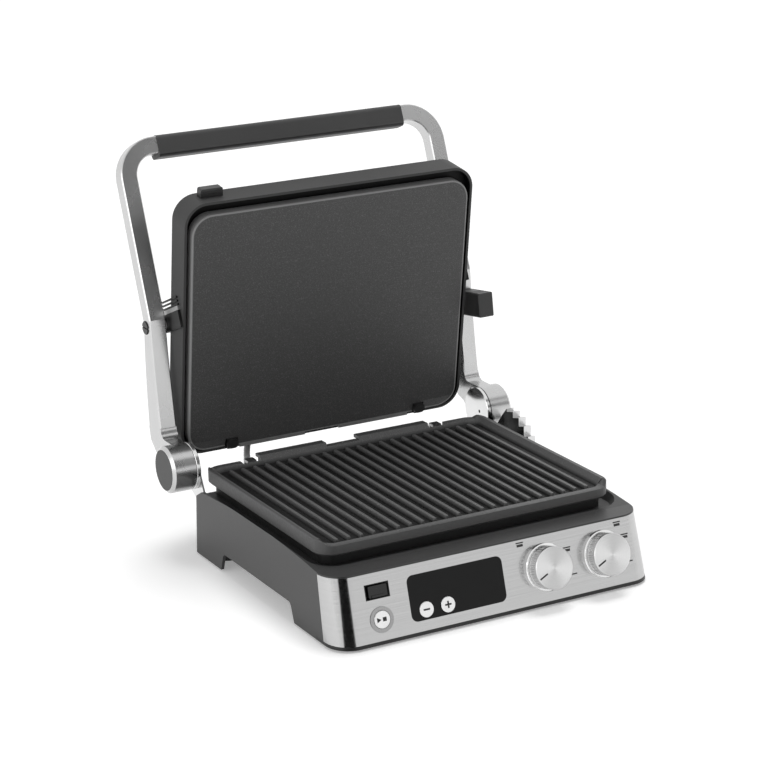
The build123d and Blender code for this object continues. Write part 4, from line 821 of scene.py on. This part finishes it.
def bake(piece: Object, tree: NodeTree, values: dict[str, object]) -> Object:
    """Runs a geometry tree on a piece and returns the result as a plain mesh object.

    Args:
        piece: the curve or point mesh that carries the tree, removed afterwards.
        tree: the geometry tree.
        values: the tree's inputs by name.

    Returns:
        A new object at the origin.
    """
    modifier = piece.modifiers.new("build", "NODES")
    modifier.node_group = tree
    for item in tree.interface.items_tree:
        if item.in_out == "INPUT" and item.name in values:
            modifier[item.identifier] = values[item.name]
    depsgraph = bpy.context.evaluated_depsgraph_get()
    data = bpy.data.meshes.new_from_object(piece.evaluated_get(depsgraph))
    name = piece.name
    piece.modifiers.remove(modifier)
    bpy.data.objects.remove(piece)
    data.name = name
    return add_object(name, data)


# ---- Sub-assemblies ----
@dataclass
class Dresser:
    """Gives CAD nodes their finishes."""

    nodes: dict[str, Object]

    def paint(self, material: Material, *names: str) -> None:
        """Dresses several CAD nodes in one material."""
        for name in names:
            dress(self.nodes[name], material)
            LOG.info("dressed %s in %s", name, material.name)


@dataclass
class BaseUnit:
    """Base with its housing, feet, boards, hinge brackets and toothed stop plate."""

    dresser: Dresser
    quadrant_depth: float = 8.0 * MM
    quadrant_skin: float = 0.05 * MM
    lip_margin: float = 1.0 * MM
    lip_overlap: float = 0.1 * MM

    def build(self) -> None:
        """Dresses every fixed node of the base."""
        paint = self.dresser.paint
        # Painted shade: the housing's band under the steel front is painted near black.
        shell = MouldedPlastic("base_plastic", 0.036, 0.4, dark_part=self.front_shade_band())
        paint(shell.make(), "base_housing", "bottom_cover")
        paint(SoftRubber("foot_rubber").make(), "feet")
        paint(Metal("zinc_screw", 0.5, 0.35).make(), "bottom_screws", "hinge_screws", "hinge_nuts")
        paint(MouldedPlastic("thermostat_black", 0.02).make(), "thermostats", "inlet_gland")
        paint(MouldedPlastic("board_resin", 0.06, 0.5).make(), "display_module", "power_board")
        paint(Metal("bright_sheet", 0.7, 0.25).make(), "lower_reflector", "upper_reflector")
        paint(Metal("heater_sheath", 0.25, 0.42, 0.1).make(), "lower_element", "upper_element")
        paint(Metal("spring_steel", 0.3, 0.35).make(), "lower_clips")
        bright = Metal("polished_hinge", 0.72, 0.18, 0.0).make()
        paint(bright, "left_hinge_bracket", "right_hinge_bracket")
        inner_face = self.quadrant_face()
        paint(ShadedMetal("stop_plate_metal", 0.7, 0.008, inner_face).make(), "toothed_quadrant")
        paint(Metal("stop_plate_screw", 0.6, 0.3, 0.06).make(), "quadrant_screws")

    def front_shade_band(self) -> Contour:
        """The band of the housing under the steel front, painted near black as painted shade."""
        low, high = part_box("front_panel")
        middle = (0.0, (low[1] + high[1]) / 2, 0.0)
        margin = self.lip_margin
        half = (high[0] + margin, (high[1] - low[1]) / 2 + margin)
        return Contour(middle, 0.0, half, margin, (-1.0, low[2] + self.lip_overlap))

    def quadrant_face(self) -> float:
        """Where the stop plate's inner face stands along X: its own depth behind its outer face."""
        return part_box("toothed_quadrant")[1][0] - self.quadrant_depth + self.quadrant_skin


@dataclass
class ControlPanel:
    """Steel front with its display, buttons, release button and knobs."""

    dresser: Dresser
    glyph_size: float = 6.2
    stroke: float = 1.5
    start_half: float = 2.2
    start_span: Pair = (-4.9, -0.9)
    stop_side: float = 3.5
    stop_across: float = 2.3
    rib_count: int = 72
    rib_radius: float = 0.55 * MM
    rib_inset: float = 0.7  # how much of that radius lies inside the knob's outline
    rib_span: Pair = (4.6 * MM, 11.6 * MM)
    mark_line: tuple[float, float, float, float] = (7.4, 1.1, 0.0, 1.6)  # width, height and place
    mark_block: tuple[float, float, float, float] = (6.2, 2.2, 0.0, -0.8)  # under the upper lines
    mark_spots: tuple[tuple[str, Outline], ...] = (
        ("knob_left", ((-22.5, 24.1), (23.6, 11.2), (26.7, -12.8))),
        ("knob_right", ((17.8, 23.4), (24.0, 11.5), (25.1, -12.8))),
    )

    def build(self) -> None:
        """Dresses the panel and sets the marks on it."""
        paint = self.dresser.paint
        paint(BrushedSteel("front_steel", 0.52, 0.15).make(), "front_panel")
        paint(DisplayGloss().make(), "display_window")
        paint(Metal("satin_button", 0.82, 0.3, 0.05).make(), "minus_button", "plus_button", "start_button")
        paint(Metal("ring_metal", 0.35, 0.25).make(), "start_ring")
        paint(MouldedPlastic("switch_black", 0.006, 0.3).make(), "lower_release", "release_bezel")
        paint(Metal("flange_chrome", 0.8, 0.1).make(), "knob_flanges")
        plane = FacePlane(self.dresser.nodes["front_panel"])
        flutes = rib_ring_tree()
        fluted = Metal("fluted_metal", 0.8, 0.34, 0.0).make()
        for node in ("knob_left", "knob_right"):
            x, v = plane.centre_of(node)
            centre = plane.point(x, v, plane.level)
            paint(SpunMetal(f"{node}_spun", tuple(centre), FACE_TILT).make(), node)
            self.add_flutes(plane, node, flutes, fluted)
        paint(MouldedPlastic("pointer_black", 0.006, 0.5).make(), "knob_left_pointer", "knob_right_pointer")
        self.add_signs(plane)
        self.add_marks(plane)

    def add_flutes(
        self,
        plane: FacePlane,
        node: str,
        tree: NodeTree,
        material: Material,
    ) -> None:
        """Sets fine ribs round a knob's side.

        Args:
            plane: the sloping front face.
            node: the knob.
            tree: the geometry tree of a ring of ribs.
            material: the ribs' finish.
        """
        x, v = plane.centre_of(node)
        low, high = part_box(node)
        middle = plane.level + (self.rib_span[0] + self.rib_span[1]) / 2
        carrier = add_object(f"{node}_flutes", bpy.data.meshes.new(f"{node}_flutes"))
        values = {
            "Count": self.rib_count,
            "Ring Radius": (high[0] - low[0]) / 2 - self.rib_radius * self.rib_inset,
            "Rib Radius": self.rib_radius,
            "Rib Length": self.rib_span[1] - self.rib_span[0],
            "Centre": tuple(plane.point(x, v, middle)),
            "Turn": (math.pi / 2 - FACE_TILT, 0.0, 0.0),
            "Material": material,
        }
        ring = bake(carrier, tree, values)
        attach(ring, node)
        LOG.info("made %s", ring.name)

    def add_marks(self, plane: FacePlane) -> None:
        """Sets the plain marks round the knobs."""
        ink = MouldedPlastic("scale_ink", 0.02, 0.5).make()
        marks = []
        for node, spots in self.mark_spots:
            x, v = plane.centre_of(node)
            for across, up in spots:
                spot = (x + across * MM, v + up * MM, plane.level)
                marks.append((rectangle(*self.mark_line), *spot))
                if up > 0:
                    marks.append((rectangle(*self.mark_block), *spot))
        piece = Inlay(plane).build("knob_marks", marks)
        dress(piece, ink)
        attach(piece, "base")
        LOG.info("made %s", piece.name)

    def add_signs(self, plane: FacePlane) -> None:
        """Sets the signs on the buttons."""
        ink = MouldedPlastic("mark_ink", 0.008, 0.55).make()
        inlay = Inlay(plane)
        size, half = self.glyph_size, self.start_half
        left, tip = self.start_span
        triangle = [(left, -half), (tip, 0.0), (left, half)]
        for node, outlines in (
            ("minus_button", [rectangle(size, self.stroke)]),
            ("plus_button", [plus_outline(size, self.stroke)]),
            ("start_button", [triangle, rectangle(self.stop_side, self.stop_side, self.stop_across)]),
        ):
            piece = self.dresser.nodes[node]
            x, v = self.button_centre(plane, piece)
            level = plane.depth_of(piece)
            marks = [(outline, x, v, level) for outline in outlines]
            sign = inlay.build(f"{node}_sign", marks)
            dress(sign, ink)
            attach(sign, node)
            LOG.info("made %s", sign.name)

    def button_centre(self, plane: FacePlane, piece: Object) -> Pair:
        """Middle of a button's front, as x and v."""
        level = plane.depth_of(piece) - FLAT_WITHIN
        spots = [vertex.co for vertex in piece.data.vertices if vertex.co.dot(plane.out) > level]
        x = [spot.x for spot in spots]
        v = [spot.dot(plane.up) for spot in spots]
        return (min(x) + max(x)) / 2, (min(v) + max(v)) / 2


@dataclass
class CookingPlates:
    """The ribbed lower plate and the flat upper plate."""

    dresser: Dresser
    rib_shade_band: Pair = (75.0 * MM, 77.9 * MM)
    upper_face: Contour = Contour(LID_MIDDLE, LID_TURN, (141.4 * MM, 115.2 * MM), 18.2 * MM)
    lower_face: Contour = Contour((0.0, 24.7 * MM, 0.0), 0.0, (144.0 * MM, 115.3 * MM), 15.0 * MM)

    def build(self) -> None:
        """Dresses both plates."""
        flat = CookingCoat("flat_coat", 0.05, 0.13, face=self.upper_face, rim_highlight_value=0.24)
        self.dresser.paint(flat.make(), "upper_plate")
        # The ribbed coat is lighter than the flat one as painted light on the rib tops, with painted shade
        # in the valleys.
        ribbed = CookingCoat("ribbed_coat", 0.1, 0.19, valley_shade_band=self.rib_shade_band, face=self.lower_face)
        self.dresser.paint(ribbed.make(), "lower_plate")


@dataclass
class HandleFrame:
    """Two cast arms with the grip, hinge caps, pivots and height stop."""

    dresser: Dresser
    # Everything below a slanting level through the grip.
    underside: Contour = Contour((0.0, 0.25, 0.3503), -0.19, (1.0, 1.0), 0.01, (-1.0, 0.0))

    def build(self) -> None:
        """Dresses the frame."""
        paint = self.dresser.paint
        paint(Metal("cast_arm", 0.57, 0.26, 0.0).make(), "left_arm", "right_arm")
        paint(MouldedPlastic("grip_plastic", 0.055, 0.45, dark_part=self.underside).make(), "grip")
        paint(MouldedPlastic("cap_plastic", 0.033, 0.45).make(), "hinge_caps")
        paint(Metal("pivot_metal", 0.5, 0.3).make(), "left_pivot_disc", "right_pivot_disc")
        paint(Metal("dark_screw", 0.03, 0.25, 0.04).make(), "pivot_screws")
        paint(MouldedPlastic("stop_black", 0.024, 0.4).make(), "height_stop")


@dataclass
class FloatingLid:
    """Lid shell with its steel sheet, brackets, clips and release tab."""

    dresser: Dresser
    # Painted shade: the lid's recess round the upper plate is painted near black.
    recess_shade: Contour = Contour(
        LID_MIDDLE, LID_TURN, (147.4 * MM, 125.6 * MM), 20.0 * MM, (-14.0 * MM, -3.6 * MM)
    )

    def build(self) -> None:
        """Dresses the lid."""
        paint = self.dresser.paint
        shell = MouldedPlastic("lid_plastic", 0.054, 0.5, specular=0.2, dark_part=self.recess_shade)
        paint(shell.make(), "lid_housing")
        paint(BrushedSteel("lid_steel").make(), "lid_cover")
        paint(Metal("lid_screw", 0.5, 0.3).make(), "lid_screws", "pivot_strips")
        black = MouldedPlastic("fitting_black", 0.022, 0.35).make()
        paint(black, "upper_clips", "upper_release")
        deep = MouldedPlastic("bracket_black", 0.006, 0.35, specular=0.3).make()
        paint(deep, "left_pivot_bracket", "right_pivot_bracket")


@dataclass
class WiringSleeve:
    """Corrugated sleeve from the back of the base up to the lid."""

    outside: float = 3.2 * MM
    wave: float = 0.5 * MM
    rings: int = 100
    level_run: float = 27.0 * MM
    steep_run: Pair = (9.4 * MM, 15.8 * MM)  # across and up the lid

    def build(self, body: str, joint: str) -> None:
        """Builds the sleeve along the CAD sleeve's own route.

        Args:
            body: the body that it rides on.
            joint: not used.
        """
        low, high = (Vector(corner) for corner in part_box("wiring_sleeve"))
        reach = self.outside
        start = Vector((low.x + reach, low.y, low.z + reach))
        lid_up = Vector((0.0, -math.sin(LID_LEAN), math.cos(LID_LEAN)))
        across, up = self.steep_run
        slope = math.atan2(across, up)
        end = Vector((high.x - reach * math.cos(slope), high.y - reach, high.z - reach * math.sin(slope)))
        route = [
            start,
            start + Vector((0.0, self.level_run, 0.0)),
            end - lid_up * up - Vector((across, 0.0, 0.0)),
            end,
        ]
        curve = bpy.data.curves.new("wiring_hose", "CURVE")
        curve.dimensions = "3D"
        spline = curve.splines.new("NURBS")
        spline.points.add(len(route) - 1)
        for point, spot in zip(spline.points, route):
            point.co = (*spot, 1.0)
        spline.order_u = 3
        spline.use_endpoint_u = True
        carrier = add_object("wiring_hose", curve)
        rubber = SoftRubber("hose_grey", 0.5).make()
        values = {
            "Rings": self.rings,
            "Radius": self.outside - self.wave,
            "Depth": self.wave,
            "Material": rubber,
        }
        hose = bake(carrier, hose_tree(), values)
        for face in hose.data.polygons:
            face.use_smooth = True
        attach(hose, body)
        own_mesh(hose)
        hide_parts("wiring_sleeve")
        LOG.info("made %s", hose.name)


# ---- Studio ----
@dataclass
class AreaLamp:
    """One soft lamp aimed at a point."""

    name: str
    place: Triple
    aim: Triple
    size: Pair
    watts: float

    def build(self) -> None:
        """Adds the lamp."""
        lamp = bpy.data.lights.new(self.name, "AREA")
        lamp.shape = "RECTANGLE"
        lamp.size, lamp.size_y = self.size
        lamp.energy = self.watts
        holder = add_object(self.name, lamp)
        holder.location = self.place
        way = Vector(self.aim) - Vector(self.place)
        holder.rotation_euler = way.to_track_quat("-Z", "Y").to_euler()


@dataclass
class Sky:
    """One wide soft lamp far above, the same all over the floor."""

    name: str
    towards: Triple
    spread: float
    strength: float

    def build(self) -> None:
        """Adds the lamp, with its spread in degrees."""
        lamp = bpy.data.lights.new(self.name, "SUN")
        lamp.energy = self.strength
        lamp.angle = math.radians(self.spread)
        holder = add_object(self.name, lamp)
        holder.rotation_euler = Vector(self.towards).to_track_quat("Z", "Y").to_euler()
        holder.visible_glossy = False


@dataclass
class Card:
    """Dark upright card round a point that lamps and the camera look through.

    Its azimuth, width and lowest and highest elevation are in degrees as seen from that point.
    """

    name: str
    azimuth: float
    distance: float
    elevation: Pair
    width: float
    value: float
    about: Triple = (0.0, 0.0, 0.1)
    segments: int = 8

    def build(self) -> None:
        """Adds the card as a part of a cylinder about its point."""
        mesh = bmesh.new()
        rows = []
        x, y, z = self.about
        heights = [self.distance * math.tan(math.radians(angle)) for angle in self.elevation]
        for step in range(self.segments + 1):
            turn = math.radians(self.azimuth + self.width * (step / self.segments - 0.5))
            across, back = self.distance * math.sin(turn), -self.distance * math.cos(turn)
            rows.append([mesh.verts.new((x + across, y + back, z + height)) for height in heights])
        for left, right in zip(rows, rows[1:]):
            mesh.faces.new((left[0], right[0], right[1], left[1]))
        card = finish_mesh(self.name, mesh)
        shader = Shader(f"{self.name}_dark")
        shader.fix(Base_Color=BLACK, Roughness=1.0, Specular_IOR_Level=0.0)
        shader.fix(Emission_Color=WHITE, Emission_Strength=self.value)
        dress(card, shader.material)
        for ray in ("camera", "diffuse", "shadow", "transmission"):
            setattr(card, f"visible_{ray}", False)


@dataclass
class Studio:
    """Floor, backdrop light, lamps, dark cards and camera."""

    azimuth: float = math.radians(-28.69)
    elevation: float = math.radians(17.45)
    roll: float = math.radians(-1.14)
    place: Triple = (-1.03387, -1.82859, 0.83363)
    lens: float = 116.9
    ambient: float = 0.42
    floor_glow: float = 0.28
    floor_value: float = 0.92
    floor_half: float = 8.0

    def build(self) -> None:
        """Builds the whole studio."""
        self.camera()
        self.world()
        self.floor()
        self.lamps()
        self.cards()
        bpy.context.scene.view_settings.view_transform = "Standard"

    def camera(self) -> None:
        """Sets the camera."""
        lens = bpy.data.cameras.new("camera")
        lens.lens = self.lens
        lens.sensor_width = 36.0
        lens.clip_end = 50.0
        holder = add_object("camera", lens)
        flat = math.cos(self.elevation)
        across, along = math.sin(self.azimuth) * flat, -math.cos(self.azimuth) * flat
        back = Vector((across, along, math.sin(self.elevation)))
        right = (-back).cross(Vector((0.0, 0.0, 1.0))).normalized()
        up = right.cross(-back)
        turned_right = right * math.cos(self.roll) + up * math.sin(self.roll)
        turned_up = up * math.cos(self.roll) - right * math.sin(self.roll)
        matrix = Matrix((turned_right, turned_up, back)).transposed().to_4x4()
        matrix.translation = Vector(self.place)
        holder.matrix_world = matrix
        bpy.context.scene.camera = holder

    def seen_directly(self, graph: Graph) -> NodeSocket:
        """Mask of rays that see the backdrop itself, in a mirror or through glass too."""
        path = graph.add("ShaderNodeLightPath")
        seen = graph.calculate("MAXIMUM", path.outputs["Is Camera Ray"], path.outputs["Is Glossy Ray"])
        return graph.calculate("MAXIMUM", seen, path.outputs["Is Transmission Ray"])

    def world(self) -> None:
        """White backdrop with a plain even light."""
        world = bpy.data.worlds.new("studio")
        world.use_nodes = True
        bpy.context.scene.world = world
        graph = Graph(world.node_tree)
        background = world.node_tree.nodes["Background"]
        level = graph.remap(self.seen_directly(graph), target=(self.ambient, 1.0))
        graph.set(background, Color=WHITE, Strength=level)

    def floor(self) -> None:
        """Pale floor that stays white to the eye and keeps the shadow."""
        mesh = bmesh.new()
        half = self.floor_half
        corners = [(-half, -half), (half, -half), (half, half), (-half, half)]
        mesh.faces.new([mesh.verts.new((x, y, 0.0)) for x, y in corners])
        floor = finish_mesh("studio_floor", mesh)
        shader = Shader("floor_white")
        colour = (*shade(self.floor_value), 1.0)
        shader.fix(Base_Color=colour, Roughness=0.9, Specular_IOR_Level=0.0, Emission_Color=WHITE)
        shader.spread(self.seen_directly(shader.graph), "Emission Strength", 0.0, self.floor_glow)
        dress(floor, shader.material)

    def lamps(self) -> None:
        """Soft lamps round the object."""
        aim = (0.0, 0.0, 0.15)
        AreaLamp("left_wall", (-2.4, -0.2, 0.9), aim, size=(2.2, 1.2), watts=12.0).build()
        AreaLamp("right_fill", (1.9, -1.7, 1.5), aim, size=(1.4, 1.4), watts=5.0).build()
        Sky("sky", (0.2, 0.3, 0.93), spread=28.0, strength=1.5).build()

    def cards(self) -> None:
        """Dark cards that only shiny surfaces reflect."""
        Card("card_corner", -23.0, 0.07, (-26.0, 50.0), width=44.0, value=0.01, about=STEEL_CORNER).build()
        Card("card_right", 33.0, 2.6, (16.0, 52.0), width=50.0, value=0.1).build()


# ---- Whole scene ----
def main() -> None:
    """Builds the scene."""
    logging.basicConfig(level=logging.INFO)
    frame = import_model()
    dresser = Dresser(frame["nodes"])
    BaseUnit(dresser).build()
    ControlPanel(dresser).build()
    CookingPlates(dresser).build()
    HandleFrame(dresser).build()
    FloatingLid(dresser).build()
    WiringSleeve().build("base", "arm_hinge")
    Studio().build()


if __name__ == "__main__":
    main()
